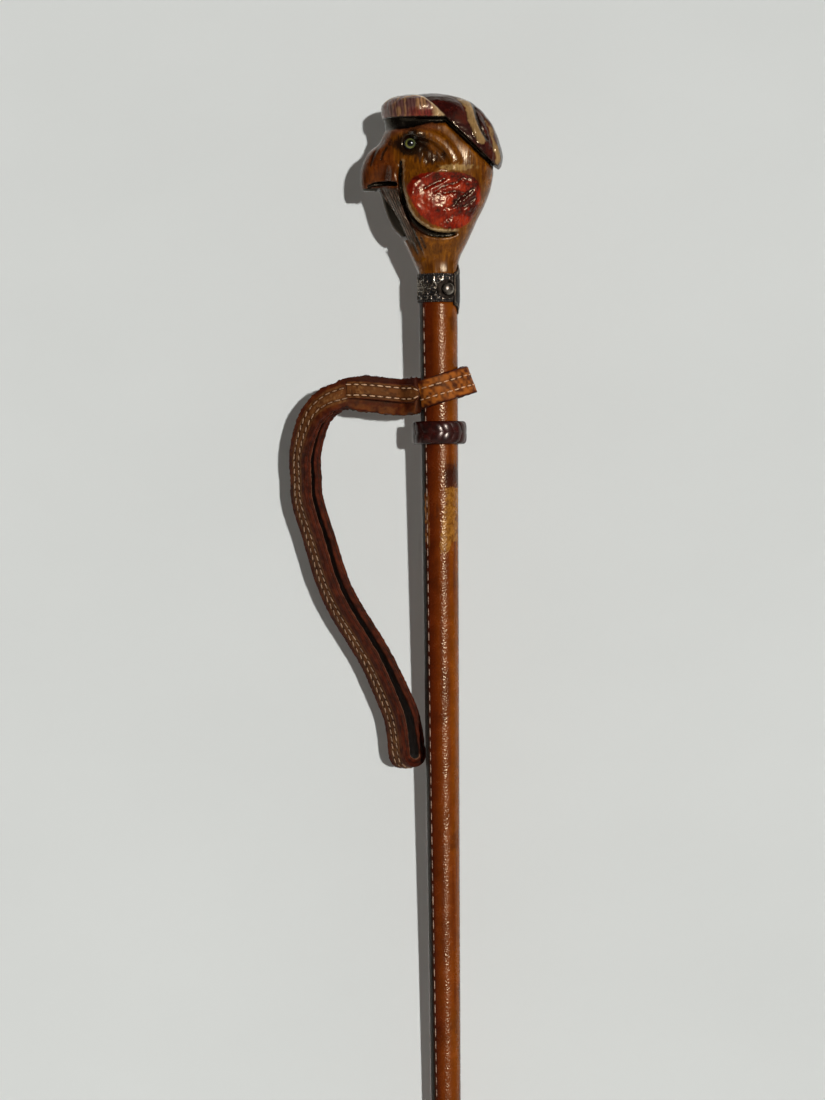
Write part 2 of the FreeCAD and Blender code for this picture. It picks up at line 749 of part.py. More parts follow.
def strap_frames():
    """Centre, outward face direction, width direction and gap at each place along the legs."""
    points = []
    for reach, drop, depth, turn, gap in strap_way_shares:
        points.append(Vector(-reach * strap_reach, depth * strap_depth, loop_height - drop * strap_drop))
    curve = Part.BSplineCurve()
    curve.interpolate(points)
    frames = []
    for point, (reach, drop, depth, turn_share, gap_share) in zip(points, strap_way_shares):
        tangent = curve.tangent(curve.parameter(point))[0]
        flat = Vector(tangent.x, 0, tangent.z)
        flat.normalize()
        outward = Vector(flat.z, 0, -flat.x)
        turn = math.radians(turn_share * strap_turn)
        face = Vector(0, -1, 0) * math.cos(turn) + outward * math.sin(turn)
        width = outward * math.cos(turn) + Vector(0, 1, 0) * math.sin(turn)
        frames.append((point, face, width, gap_share * bend_gap))
    return frames


def band_section(centre, face, width, half_width):
    half = strap_thickness / 2
    corners = [centre + face * half + width * half_width, centre + face * half - width * half_width,
               centre - face * half - width * half_width, centre - face * half + width * half_width]
    return Part.makePolygon(corners + corners[:1])


def strap_leg(side):
    """One leg from the tab to the bend, on the outer side (1) or the inner side (-1)."""
    wires = []
    for centre, face, width, gap in strap_frames():
        middle = centre + face * (side * (gap + strap_thickness) / 2)
        wires.append(band_section(middle, face, width, strap_width / 2))
    return Part.makeLoft(wires, True, False)


def hand_strap():
    near = -(loop_bore_radius + loop_thickness + strap_gap_to_loop)
    legs = [strap_leg(side) for side in (1, -1)]
    centre, face, width, gap = strap_frames()[-1]
    start = band_section(centre + face * ((gap + strap_thickness) / 2), face, width, strap_width / 2)
    bend = Part.Face(start).revolve(centre, width, -180)
    first = strap_frames()[0]
    far = first[0].x - strap_thickness / 2
    tab = Part.makeBox(near - far, 2 * strap_thickness, tab_width,
                       Vector(far, -strap_thickness, loop_height - tab_width / 2))
    return tab.fuse(legs + [bend]).removeSplitter()


def strap_tongue():
    near = -(loop_bore_radius + loop_thickness + strap_gap_to_loop)
    half = tongue_width / 2
    start = Vector(near - half, 0, loop_height)
    end = Vector(-tab_end_reach + half, 0, loop_height)
    plate = Part.makeBox(start.x - end.x, tongue_thickness, tongue_width,
                         Vector(end.x, -strap_thickness - tongue_thickness, loop_height - half))
    rounds = [rod_along(half, Vector(x, -strap_thickness - tongue_thickness, loop_height),
                        Vector(x, -strap_thickness, loop_height)) for x in (start.x, end.x)]
    return plate.fuse(rounds).removeSplitter()


def save(name, shape):
    if not shape.isValid():
        print("not valid:", name)
    shape.exportStep("parts/" + name + ".step")
    print(name, len(shape.Solids), "solids,", round(shape.Volume, 1), "mm3")


def main():
    os.makedirs("parts", exist_ok=True)
    head = head_carving()
    band = collar()
    pieces = {
        "head_carving": head,
        "cap": cap(),
        "lower_beak": lower_beak(),
        "beak_lever": beak_lever(),
        "beak_pin": beak_pin(),
        "eye_left": eye(-1),
        "eye_right": eye(1),
        "collar": band,
        "collar_cartouche": collar_cartouche(band, head),
        "button_bush": button_bush(),
        "push_button": push_button(),
        "mechanism_tube": mechanism_tube(),
        "push_rod": push_rod(),
        "return_spring": return_spring(),
        "spring_plug": spring_plug(),
        "shaft_core": shaft_core(),
        "leather_cover": leather_cover(),
        "stop_ring": stop_ring(),
        "ferrule": ferrule(),
        "ferrule_tip": ferrule_tip(),
        "ferrule_nails": ferrule_nails(),
        "shaft_loop": shaft_loop(),
        "hand_strap": hand_strap(),
        "strap_tongue": strap_tongue(),
    }
    for name, shape in pieces.items():
        save(name, shape)


main()
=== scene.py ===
import itertools
import json
import math
import bmesh
import bpy
import numpy as np
from mathutils import Matrix, Vector

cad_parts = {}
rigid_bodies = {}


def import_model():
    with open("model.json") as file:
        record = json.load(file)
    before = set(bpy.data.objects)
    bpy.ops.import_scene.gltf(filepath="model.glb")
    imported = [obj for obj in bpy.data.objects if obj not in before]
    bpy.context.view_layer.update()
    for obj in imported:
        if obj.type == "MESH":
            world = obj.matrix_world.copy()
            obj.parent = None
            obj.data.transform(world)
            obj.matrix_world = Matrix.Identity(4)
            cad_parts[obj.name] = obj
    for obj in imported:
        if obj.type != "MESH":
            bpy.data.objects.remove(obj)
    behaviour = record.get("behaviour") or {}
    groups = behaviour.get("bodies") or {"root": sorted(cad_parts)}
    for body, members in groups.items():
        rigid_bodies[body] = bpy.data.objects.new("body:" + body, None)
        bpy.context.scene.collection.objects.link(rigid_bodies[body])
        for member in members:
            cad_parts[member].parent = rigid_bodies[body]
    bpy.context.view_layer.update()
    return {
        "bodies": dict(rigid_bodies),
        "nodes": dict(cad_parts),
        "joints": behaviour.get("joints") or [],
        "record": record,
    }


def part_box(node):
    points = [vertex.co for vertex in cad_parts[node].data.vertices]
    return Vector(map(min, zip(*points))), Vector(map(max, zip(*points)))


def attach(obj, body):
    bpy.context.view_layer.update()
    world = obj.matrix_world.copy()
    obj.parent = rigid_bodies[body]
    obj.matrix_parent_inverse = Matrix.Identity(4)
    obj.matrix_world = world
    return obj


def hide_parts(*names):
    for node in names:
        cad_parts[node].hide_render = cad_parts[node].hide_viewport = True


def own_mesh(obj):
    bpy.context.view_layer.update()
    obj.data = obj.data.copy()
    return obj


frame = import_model()
mm = 0.001  # all modelling below is in millimetres, and newMesh turns it into metres
tiny = 1e-9
warmShine = (1.0, 0.8, 0.55, 1.0)  # tint of the gloss on old varnish and wax
print("frame loaded:", len(frame["nodes"]), "nodes")


def hexColor(text):  # sRGB hex to linear
    parts = [int(text[i:i + 2], 16) / 255 for i in (1, 3, 5)]
    return tuple(c / 12.92 if c <= 0.04045 else ((c + 0.055) / 1.055) ** 2.4 for c in parts) + (1.0,)


def addNode(tree, kind, inputs=None, stops=None, feeds=None, **settings):
    # a node with its settings, links and ramp stops, and the socket that its first output feeds. An input is a
    # value, a socket, or a node where that node's first output is meant
    node = tree.nodes.new(kind)
    for key, value in settings.items():
        setattr(node, key, value)
    for key, value in (inputs or {}).items():
        value = value.outputs[0] if isinstance(value, bpy.types.Node) else value
        if isinstance(value, bpy.types.NodeSocket):
            tree.links.new(value, node.inputs[key])
        else:
            node.inputs[key].default_value = value
    for i, (place, color) in enumerate(stops or []):
        mark = node.color_ramp.elements[i] if i < 2 else node.color_ramp.elements.new(place)
        mark.position = place
        mark.color = hexColor(color)
    if feeds is not None:
        tree.links.new(node.outputs[0], feeds)
    return node


def newMaterial(name):  # a material, its tree and shader, and the socket that tells the place on the object
    material = bpy.data.materials.new(name)
    material.use_nodes = True
    tree = material.node_tree
    place = addNode(tree, "ShaderNodeTexCoord").outputs["Object"]
    return material, tree, tree.nodes["Principled BSDF"], place


def newMesh(name, points, faces, material):
    mesh = bpy.data.meshes.new(name)
    mesh.from_pydata((np.asarray(points, float) * mm).tolist(), [], [list(map(int, f)) for f in faces])
    mesh.polygons.foreach_set("use_smooth", [True] * len(mesh.polygons))
    mesh.materials.append(material)
    mesh.validate()
    piece = bpy.data.objects.new(name, mesh)
    bpy.context.scene.collection.objects.link(piece)
    return piece


def paintPiece(piece, colors):  # one colour for each point, linear
    layer = piece.data.color_attributes.new("paint", "FLOAT_COLOR", "POINT")
    full = np.ones((len(piece.data.vertices), 4), np.float32)
    full[:, :3] = colors
    layer.data.foreach_set("color", full.ravel())


def markPiece(piece, name, values):  # one number for each point
    layer = piece.data.attributes.new(name, "FLOAT", "POINT")
    layer.data.foreach_set("value", np.asarray(values, np.float32))


def pointsOf(piece):  # in millimetres
    found = np.zeros(len(piece.data.vertices) * 3)
    piece.data.vertices.foreach_get("co", found)
    return found.reshape(-1, 3) / mm


def latticeNoise(points, cell, seed):  # smooth noise from -1 to 1, cell is the size of its lumps
    place = np.asarray(points, float) / cell
    base = np.floor(place).astype(np.int64)
    part = place - base
    part = part * part * (3 - 2 * part)
    total = np.zeros(len(place))
    for corner in itertools.product((0, 1), repeat=3):
        mixed = (base[:, 0] + corner[0]) * 73856093 ^ (base[:, 1] + corner[1]) * 19349663
        mixed = mixed ^ (base[:, 2] + corner[2]) * 83492791 ^ seed * 26544357
        mixed = (mixed ^ (mixed >> 13)) * 1274126177
        value = ((mixed >> 8) & 0xFFFF) / 32767.5 - 1
        weight = np.prod(np.where(corner, part, 1 - part), axis=1)
        total += weight * value
    return total


def smoothStep(value, low, high):  # 0 below low, 1 above high
    share = np.clip((value - low) / (high - low), 0, 1)
    return share * share * (3 - 2 * share)


def fallOff(value, low, high):  # 1 below low, 0 above high
    return 1 - smoothStep(value, low, high)


def bell(away, wide, power=2):  # 1 at the middle of a cut or ridge, next to nothing well away from it
    return np.exp(-(away / wide) ** power)


def curveThrough(places, values, at):  # smooth curve through given points
    places, values = np.asarray(places, float), np.asarray(values, float)
    slopes = np.gradient(values, places)
    at = np.clip(at, places[0], places[-1])
    i = np.clip(np.searchsorted(places, at) - 1, 0, len(places) - 2)
    gap = places[i + 1] - places[i]
    t = (at - places[i]) / gap
    return ((2 * t ** 3 - 3 * t ** 2 + 1) * values[i] + (t ** 3 - 2 * t ** 2 + t) * gap * slopes[i]
            + (3 * t ** 2 - 2 * t ** 3) * values[i + 1] + (t ** 3 - t ** 2) * gap * slopes[i + 1])


def tableCurve(rows, at, column=1):  # the same curve through one column of a table, over its first column
    return curveThrough([row[0] for row in rows], [row[column] for row in rows], at)


def pathCurve(points, at):  # the same curve through points, by their number in the list, one column at a time
    places = np.arange(len(points))
    return [curveThrough(places, [point[i] for point in points], at) for i in range(len(points[0]))]


def roundedLine(line, steps=6):  # the same line with smooth corners
    return list(zip(*pathCurve(line, np.linspace(0, len(line) - 1, steps * (len(line) - 1) + 1))))


def lineDistance(x, z, line):  # distance in the side view to a drawn line, and how far along it
    best = np.full(np.shape(x + z), np.inf)
    along = np.zeros(np.shape(x + z))
    for k, ((ax, az), (bx, bz)) in enumerate(zip(line, line[1:])):
        dx, dz = bx - ax, bz - az
        t = np.clip(((x - ax) * dx + (z - az) * dz) / max(dx * dx + dz * dz, tiny ** 2), 0, 1)
        away = np.hypot(x - ax - t * dx, z - az - t * dz)
        near = away < best
        best = np.where(near, away, best)
        along = np.where(near, (k + t) / (len(line) - 1), along)
    return best, along


def insideOutline(x, z, ring):  # whether a place in the side view lies inside a closed outline
    inside = np.zeros(np.shape(x + z), bool)
    for (ax, az), (bx, bz) in zip(ring, ring[1:] + ring[:1]):
        if az != bz:
            inside ^= ((az > z) != (bz > z)) & (x < ax + (z - az) * (bx - ax) / (bz - az))
    return inside


def depthInside(x, z, ring):  # how far inside the outline, negative outside
    away, _ = lineDistance(x, z, ring + ring[:1])
    return np.where(insideOutline(x, z, ring), away, -away)


def smoothUnion(a, b, blend):
    h = np.clip(0.5 + 0.5 * (b - a) / blend, 0, 1)
    return b * (1 - h) + a * h - blend * h * (1 - h)


def smoothCut(a, b, blend):  # a without b
    return -smoothUnion(-a, b, blend)


smallShare = 0.02  # a field's slope is held where a place is this near its middle, as a share of its size


def ovalStack(x, y, z, rows, power):  # distance-like field of level ovals: height, front, back, half width
    front, back, width = [tableCurve(rows, z, column) for column in (1, 2, 3)]
    centre, half = (back - front) / 2, (back + front) / 2
    rho = ((np.abs(x - centre) / half) ** power + (np.abs(y) / width) ** power) ** (1 / power)
    return np.hypot(x - centre, y) * (1 - 1 / np.maximum(rho, smallShare))


def ballField(x, y, z, centre, radii):
    rho = np.sqrt(sum(((v - c) / r) ** 2 for v, c, r in zip((x, y, z), centre, radii)))
    away = np.sqrt(sum((v - c) ** 2 for v, c in zip((x, y, z), centre)))
    return away * (1 - 1 / np.maximum(rho, smallShare))


def netSurface(field, low, step):  # closed skin of quads where the field crosses zero
    inside = field < 0
    shape = np.array(field.shape) - 1
    count = np.zeros(shape, np.int8)
    for a, b, c in itertools.product((0, 1), repeat=3):
        count += inside[a:a + shape[0], b:b + shape[1], c:c + shape[2]]
    active = (count > 0) & (count < 8)
    index = np.full(shape, -1)
    index[active] = np.arange(active.sum())
    cells = np.argwhere(active)
    places = np.zeros((len(cells), 3))
    hits = np.zeros(len(cells))
    for axis in range(3):
        others = [k for k in range(3) if k != axis]
        for a, b in itertools.product((0, 1), repeat=2):
            start = np.zeros(3, int)
            start[others[0]], start[others[1]] = a, b
            end = start.copy()
            end[axis] = 1
            one = field[tuple((cells + start).T)]
            two = field[tuple((cells + end).T)]
            cross = (one < 0) != (two < 0)
            t = one / np.where(cross, one - two, 1)
            places[cross] += (start + t[:, None] * (end - start))[cross]
            hits[cross] += 1
    points = np.array(low) + step * (cells + places / hits[:, None])
    faces = []
    for axis in range(3):
        u, v = [k for k in range(3) if k != axis]
        ahead = np.take(inside, range(1, inside.shape[axis]), axis)
        behind = np.take(inside, range(0, inside.shape[axis] - 1), axis)
        for leaving, flip in ((behind & ~ahead, False), (ahead & ~behind, True)):
            edges = np.argwhere(leaving)
            corners = []
            for du, dv in ((-1, -1), (0, -1), (0, 0), (-1, 0)):
                cell = edges.copy()
                cell[:, u] += du
                cell[:, v] += dv
                corners.append(index[tuple(cell.T)])
            quads = np.stack(corners, 1)
            faces.append(quads[:, ::-1] if flip != (axis == 1) else quads)
    return points, np.concatenate(faces)


def gridField(field, low, high, step):  # both halves of a shape that is even about the middle
    xs = np.arange(low[0], high[0], step)
    ys = np.arange(0.5 * step, high[1], step)
    zs = np.arange(low[2], high[2], step)
    half = field(xs[:, None, None], ys[None, :, None], zs[None, None, :])
    whole = np.concatenate([half[:, ::-1], half], axis=1)
    return whole, (low[0], -ys[-1], low[2])


def relax(points, faces, rounds=2, share=0.5):  # even out the net's small steps
    edges = np.concatenate([faces[:, [k, (k + 1) % 4]] for k in range(4)])
    count = np.bincount(edges[:, 0], minlength=len(points)) + np.bincount(edges[:, 1], minlength=len(points))
    for _ in range(rounds):
        total = np.zeros_like(points)
        for k in range(3):
            total[:, k] = (np.bincount(edges[:, 0], points[edges[:, 1], k], len(points))
                           + np.bincount(edges[:, 1], points[edges[:, 0], k], len(points)))
        points = points + share * (total / count[:, None] - points)
    return points


def pushOut(points, faces, amount):  # move each point along its own normal
    a, b, c, d = (points[faces[:, k]] for k in range(4))
    normals = np.cross(c - a, d - b)
    total = np.zeros_like(points)
    for k in range(4):
        for axis in range(3):
            total[:, axis] += np.bincount(faces[:, k], normals[:, axis], len(points))
    return points + amount[:, None] * total / np.linalg.norm(total, axis=1)[:, None]


def carvedPiece(name, field, sizes, facets, colorsOf, material):
    # skin of a field that is even about the middle, with the knife's marks on it, then painted
    grid, low = gridField(field, sizes["low"], sizes["high"], sizes["step"])
    points, faces = netSurface(grid, low, sizes["step"])
    points = relax(points, faces)
    if facets:
        points = pushOut(points, faces, facets(points))
    piece = newMesh(name, points, faces, material)
    paintPiece(piece, colorsOf(pointsOf(piece)))
    return piece


def plainColors(text, points):  # one colour for every point
    return np.tile(hexColor(text)[:3], (len(points), 1))


def paintOver(colors, text, mask):  # lay another colour over these, as far as the mask says
    share = np.clip(mask, 0, 1)[:, None]
    colors[:] = colors * (1 - share) + np.array(hexColor(text)[:3]) * share


def closedShell(name, outer, inner, keep, material):
    # wall between two rings of points, with its rims and holes closed
    rows, width = keep.shape
    second = outer.shape[0] * width
    points = np.concatenate([outer.reshape(-1, 3), inner.reshape(-1, 3)])
    faces = []
    for i, j in np.argwhere(keep):
        k = (j + 1) % width
        a, b, c, d = i * width + j, i * width + k, (i + 1) * width + k, (i + 1) * width + j
        faces += [(a, b, c, d), (d + second, c + second, b + second, a + second)]
        for row, column, p, q in ((i - 1, j, a, b), (i, j + 1, b, c), (i + 1, j, c, d), (i, j - 1, d, a)):
            if not (0 <= row < rows and keep[row, column % width]):
                faces.append((q, p, p + second, q + second))
    used = np.unique(np.array(faces))
    place = np.zeros(len(points), int)
    place[used] = np.arange(len(used))
    return newMesh(name, points[used], place[np.array(faces)], material), used


def sweptBand(name, rings, material, closed=False):  # skin over rings of points, with flat ends unless closed
    count, around = len(rings), len(rings[0])
    faces = []
    for i in range(count if closed else count - 1):
        for j in range(around):
            k, n = (j + 1) % around, (i + 1) % count
            faces.append((i * around + j, i * around + k, n * around + k, n * around + j))
    if not closed:
        faces.append(tuple(range(around))[::-1])
        faces.append(tuple((count - 1) * around + j for j in range(around)))
    piece = newMesh(name, np.concatenate(rings), faces, material)
    mesh = bmesh.new()
    mesh.from_mesh(piece.data)
    bmesh.ops.recalc_face_normals(mesh, faces=mesh.faces)
    mesh.to_mesh(piece.data)
    mesh.free()
    return piece


# Carved head: limewood, stained, painted in places and varnished thick. Sizes are side-view places, x then z.
head = {
    "low": (-37.0, 0, 804.0), "high": (30.0, 22.5, 882.0), "step": 0.42,
    "skull": [(804.0, 9.1, 9.1, 9.1), (806.7, 9.1, 9.1, 9.1), (812.6, 11.4, 9.7, 9.3),
              (822.4, 15.8, 14.3, 12.7), (830.4, 19.3, 17.9, 14.6), (838.0, 23.4, 21.7, 15.7),
              (845.0, 27.0, 24.4, 16.3), (850.0, 25.5, 25.6, 16.6), (856.0, 22.6, 26.2, 16.8),
              (862.0, 21.2, 25.8, 16.6), (870.0, 21.0, 23.4, 15.6), (877.6, 20.6, 20.4, 14.4),
              (884.0, 17.0, 14.0, 12.0)],
    "skullPower": 2.35, "skullTop": 886.0,
    "beak": [(844.2, 32.9, -16.0, 3.4), (845.3, 34.2, -16.0, 4.8), (847.0, 34.8, -14.0, 6.0),
             (851.0, 35.1, -12.0, 7.4), (857.9, 34.0, -8.0, 9.2), (863.2, 30.8, -6.0, 10.2),
             (866.6, 26.7, -5.4, 10.4), (869.0, 25.3, -5.0, 10.4), (871.4, 24.4, -4.2, 9.6),
             (873.2, 24.0, -3.6, 9.2), (876.0, 24.4, -3.0, 9.6), (878.8, 24.6, -3.0, 9.6)],
    "beakPower": 2.0, "beakLow": 845.3, "lipDrop": 0.4, "beakBlend": 3.2,
    "cheek": (-2.6, 11.2, 841.4), "cheekSize": (15.6, 7.6, 13.4), "cheekBlend": 1.6, "dish": (3.0, 841.5),
    "groove": [(-16.4, 857.5), (-16.9, 849.0), (-15.6, 840.0), (-11.9, 831.2), (-4.6, 825.4), (3.0, 824.0),
               (10.5, 825.2)],
    "grooveBack": [(24.0, 832.0), (22.0, 858.0), (-16.0, 866.0)],
    "grooveHalf": ([0.0, 0.2, 0.45, 0.62, 0.85, 1.0], [0.2, 0.4, 0.85, 1.05, 0.6, 0.05]), "grooveDeep": 2.4,
    "seamFront": 877.4, "seamKnee": 4.0, "seamFall": 0.962,
    "mouth": [(-31.4, 846.9), (-28.6, 847.7), (-23.4, 847.9), (-19.3, 847.4)], "mouthHalf": 0.95,
    "brow": [(-9.0, 870.4), (-3.3, 869.4), (3.0, 865.6), (7.3, 859.6), (9.0, 855.0)],
    "browTop": [(-20.5, 871.5), (-14.0, 871.4), (-9.0, 870.4)],
    "eye": (-12.1, 865.9), "gape": (-20.6, 853.0),
    "cheekRim": [(-11.8, 842.5), (-10.4, 847.2), (-6.2, 850.6), (0.0, 852.6), (7.3, 853.8)],
    "slotHalf": 6.0, "slotFront": -27.8, "slotBack": 3.2, "slotFloor": 822.2, "slotRoof": 846.9,
    "slotLip": 845.6,
    "foot": 806.3, "underCap": 1.2,
    "red": [(-13.8, 846.5), (-10.5, 850.4), (-4.5, 852.2), (4.5, 852.4), (12.0, 851.8), (17.6, 849.6),
            (19.9, 844.6), (19.4, 838.0), (16.9, 832.2), (12.6, 828.4), (8.0, 826.6), (2.4, 826.9),
            (-3.4, 829.3),
            (-8.6, 833.8), (-12.2, 839.6), (-13.8, 843.5), (-13.8, 846.5)],
}


def seamHeight(x):  # the sloping seam between head and cap
    return head["seamFront"] - head["seamFall"] * np.maximum(x - head["seamKnee"], 0)


def gougeMarks(count, seed, place, spread, lean, length):  # short knife cuts scattered round a place
    rng = np.random.default_rng(seed)
    marks = []
    for _ in range(count):
        x = place[0] + spread[0] * rng.uniform(-1, 1)
        z = place[1] + spread[1] * rng.uniform(-1, 1)
        turn = math.radians(lean + rng.uniform(-14, 14))
        reach = length * rng.uniform(0.55, 1.1) / 2
        dx, dz = reach * math.cos(turn), reach * math.sin(turn)
        marks.append([(x - dx, z - dz), (x + dx, z + dz)])
    return marks


def jowlLines(count=6):  # the fine ribs that run from the mouth down the throat
    lines = []
    for k in range(count):
        share = (k + 0.5) / count
        lines.append(roundedLine([(-25.6 + 7.8 * share, 845.2 - 1.6 * share),
                                  (-19.6 + 6.4 * share, 833.0 - 0.6 * share),
                                  (-14.2 + 5.6 * share, 820.2 + 0.5 * share),
                                  (-10.6 + 5.0 * share, 812.5 + 1.5 * share)], 5))
    return lines


jowls = jowlLines()
cheekCuts = [roundedLine(line, 3) for line in (
    [(-5.5, 845.0), (-1.5, 847.3), (3.6, 849.4)], [(-1.0, 843.6), (4.0, 846.4), (9.6, 848.0)],
    [(3.0, 842.8), (8.0, 843.6), (13.0, 842.6)], [(7.0, 839.0), (12.0, 841.5), (16.5, 845.0)],
    [(10.0, 836.5), (14.0, 838.0), (17.0, 841.0)], [(5.0, 836.0), (8.0, 837.6), (9.5, 840.0)])]
eyeCuts = gougeMarks(16, 5, (-5.5, 858.5), (7.5, 3.2), 82, 3.2)
neckCuts = [[(-9.9, 823.0), (-7.6, 817.6)], [(-7.6, 822.6), (-5.8, 818.4)], [(-11.3, 820.4), (-9.6, 816.0)]]
beakCuts = [roundedLine([(-24.5, 868.0), (-28.0, 863.0), (-30.6, 856.5)]),
            roundedLine([(-23.0, 864.4), (-24.6, 861.8), (-25.6, 859.0)])]
# how deep and how wide each kind of cut is
flankCuts = ((cheekCuts, 0.75, 0.8), (eyeCuts, 0.22, 0.4), (neckCuts, 0.7, 0.5), (beakCuts, 0.5, 0.6))


def grooveSide(x, z):
    # place along the groove round the cheek, and distance to it, positive on the cheek's side
    line = roundedLine(head["groove"])
    away, along = lineDistance(x, z, line)
    inside = insideOutline(x, z, line + head["grooveBack"])
    return along, np.where(inside, away, -away)


def grooveHalf(along):  # the cut widens round the cheek and dies out at both ends
    return np.interp(along, *head["grooveHalf"])


def cheekRed(x, z):  # how far inside the red patch
    return depthInside(x, z, roundedLine(head["red"], 4))


def cheekRelief(flat):  # the flank's wood taken away, and added where negative, round cheek, gape and dish
    along, within = grooveSide(*flat)
    ends = np.minimum(smoothStep(along, 0.0, 0.12), fallOff(along, 0.9, 1.0))
    deep = head["grooveDeep"] * ends * bell(np.maximum(np.abs(within) - grooveHalf(along), 0), 0.6)
    deep = deep - 1.3 * ends * smoothStep(within, 0.2, 1.6) * fallOff(within, 3.0, 9.0)
    ahead, up = flat[0] - head["gape"][0], flat[1] - head["gape"][1]
    deep = deep - 2.3 * bell(ahead, 2.2) * bell(up, 5.0) + 0.7 * bell(ahead - 3.4, 0.8) * bell(up, 4.6)
    rim, _ = lineDistance(*flat, roundedLine(head["cheekRim"]))
    dish = np.hypot((flat[0] - head["dish"][0]) / 8.0, (flat[1] - head["dish"][1]) / 6.5)
    return deep - 1.9 * bell(rim, 2.9) + 0.8 * bell(dish, 1.0)


def browRelief(flat):  # the same round brow and eye
    brow, along = lineDistance(*flat, roundedLine(head["brow"]))
    deep = -2.6 * (1 - 0.5 * along) * fallOff(along, 0.85, 1.0) * bell(brow, 2.7, 4)
    below, along = lineDistance(flat[0] + 3.2, flat[1] + 3.2, roundedLine(head["brow"]))
    deep = deep + 1.2 * fallOff(along, 0.8, 1.0) * bell(below, 1.7)
    brow, _ = lineDistance(*flat, roundedLine(head["browTop"]))
    away = np.hypot(flat[0] - head["eye"][0], flat[1] - head["eye"][1])
    return deep - 0.8 * bell(brow, 1.9) + 1.1 * bell(away, 3.9, 4) - 0.45 * bell(away - 4.3, 0.8)


def headField(x, y, z):
    skull = ovalStack(x, y, z, head["skull"], head["skullPower"])
    beak = ovalStack(x, y, z, head["beak"], head["beakPower"])
    beak = np.maximum(beak, head["beakLow"] - head["lipDrop"] * smoothStep(-x, 27.6, 28.6) - z)
    body = smoothUnion(np.maximum(skull, z - head["skullTop"]), beak, head["beakBlend"])
    body = smoothUnion(body, ballField(x, y, z, head["cheek"], head["cheekSize"]), head["cheekBlend"])
    side = smoothStep(y, 3.0, 7.5)  # cuts on the flanks fade out towards the middle
    flat = np.broadcast_arrays(x, z)
    body = body + side * (cheekRelief(flat) + browRelief(flat))
    for lines, deep, wide in flankCuts:
        for line in lines:
            body = body + side * deep * bell(lineDistance(*flat, line)[0], wide)
    for line in jowls:
        body = body + smoothStep(y, 5.0, 6.5) * 0.75 * bell(lineDistance(*flat, line)[0], 0.5)
    under = z - seamHeight(x)  # undercut below the cap, taller under the brim
    tall = 1.4 + 1.5 * smoothStep(-x, 2.0, 16.0)
    deep = 2.0 - 1.7 * smoothStep(x, 17.0, 24.0) - 1.5 * smoothStep(-x, 13.0, 18.0)
    body = body + deep * bell(under + 0.9 * tall, tall, 4)
    mouth, along = lineDistance(*flat, roundedLine(head["mouth"]))
    half = head["mouthHalf"] * (0.6 + 0.4 * smoothStep(along, 0.0, 0.5))
    body = smoothCut(body, mouth - half + 3.0 * fallOff(y, 1.6, 3.0), 0.4)
    roof = head["slotLip"] + (head["slotRoof"] - head["slotLip"]) * smoothStep(x, -18.0, -16.0)
    slot = np.maximum(y - head["slotHalf"], np.maximum(head["slotFloor"] - z, z - roof))
    slot = np.maximum(slot, np.maximum(head["slotFront"] - x, x - head["slotBack"]))
    body = np.maximum(body, -slot)
    body = np.maximum(body, under - head["underCap"])  # the rest is under the cap
    return np.maximum(body, head["foot"] - z)


def carvedFacets(points):  # the knife's small flats, deepest on the cheek's right half
    x, y, z = points.T
    red = smoothStep(cheekRed(x, z), 0.5, 2.0) * smoothStep(np.abs(y), 8.0, 11.0)
    right = 0.35 + 0.65 * smoothStep(x, -2.0, 6.0)
    facets = latticeNoise(points, 1.7, 14) + 0.6 * latticeNoise(points, 0.9, 15)
    return 0.4 * red * right * facets + 0.07 * (1 - red) * latticeNoise(points * (1, 1, 0.5), 2.1, 16)


def carvedLacquer(name, grainDark, grainStrength, roughness):
    # painted and varnished wood: the paint lies on brush-wide grain, the thick varnish shines over it
    material, tree, shader, place = newMaterial(name)
    paint = addNode(tree, "ShaderNodeAttribute", attribute_name="paint")
    along = addNode(tree, "ShaderNodeMapping", {0: place, "Scale": (1.0, 1.0, 0.07)})
    grain = addNode(tree, "ShaderNodeTexNoise", {0: along, "Scale": 1500.0, "Detail": 4.0,
                                                 "Roughness": 0.6})  # 0.7 mm streaks
    streak = addNode(tree, "ShaderNodeValToRGB", {0: grain}, [(0.36, grainDark), (0.62, "#ffffff")])
    toned = addNode(tree, "ShaderNodeMix",
                    {0: grainStrength, 6: paint.outputs["Color"], 7: streak},
                    data_type="RGBA", blend_type="MULTIPLY")
    clouds = addNode(tree, "ShaderNodeTexNoise", {0: place, "Scale": 210.0, "Detail": 5.0})
    shade = addNode(tree, "ShaderNodeMapRange", {0: clouds, 1: 0.3, 2: 0.7, 3: 0.72, 4: 1.25})
    addNode(tree, "ShaderNodeVectorMath", {0: toned.outputs[2], 1: shade}, operation="MULTIPLY",
            feeds=shader.inputs["Base Color"])
    addNode(tree, "ShaderNodeMapRange", {0: clouds, 1: 0.3, 2: 0.7, 3: roughness - 0.05,
                                         4: roughness + 0.07}, feeds=shader.inputs["Roughness"])
    shader.inputs["Specular IOR Level"].default_value = 0.5
    shader.inputs["Specular Tint"].default_value = warmShine
    chatter = addNode(tree, "ShaderNodeTexVoronoi", {0: along, "Scale": 620.0}, feature="SMOOTH_F1")
    lumps = addNode(tree, "ShaderNodeMix", {0: 0.45, 2: grain, 3: chatter})
    addNode(tree, "ShaderNodeBump", {"Height": lumps, "Distance": 0.00022, "Strength": 0.7},
            feeds=shader.inputs["Normal"])
    return material


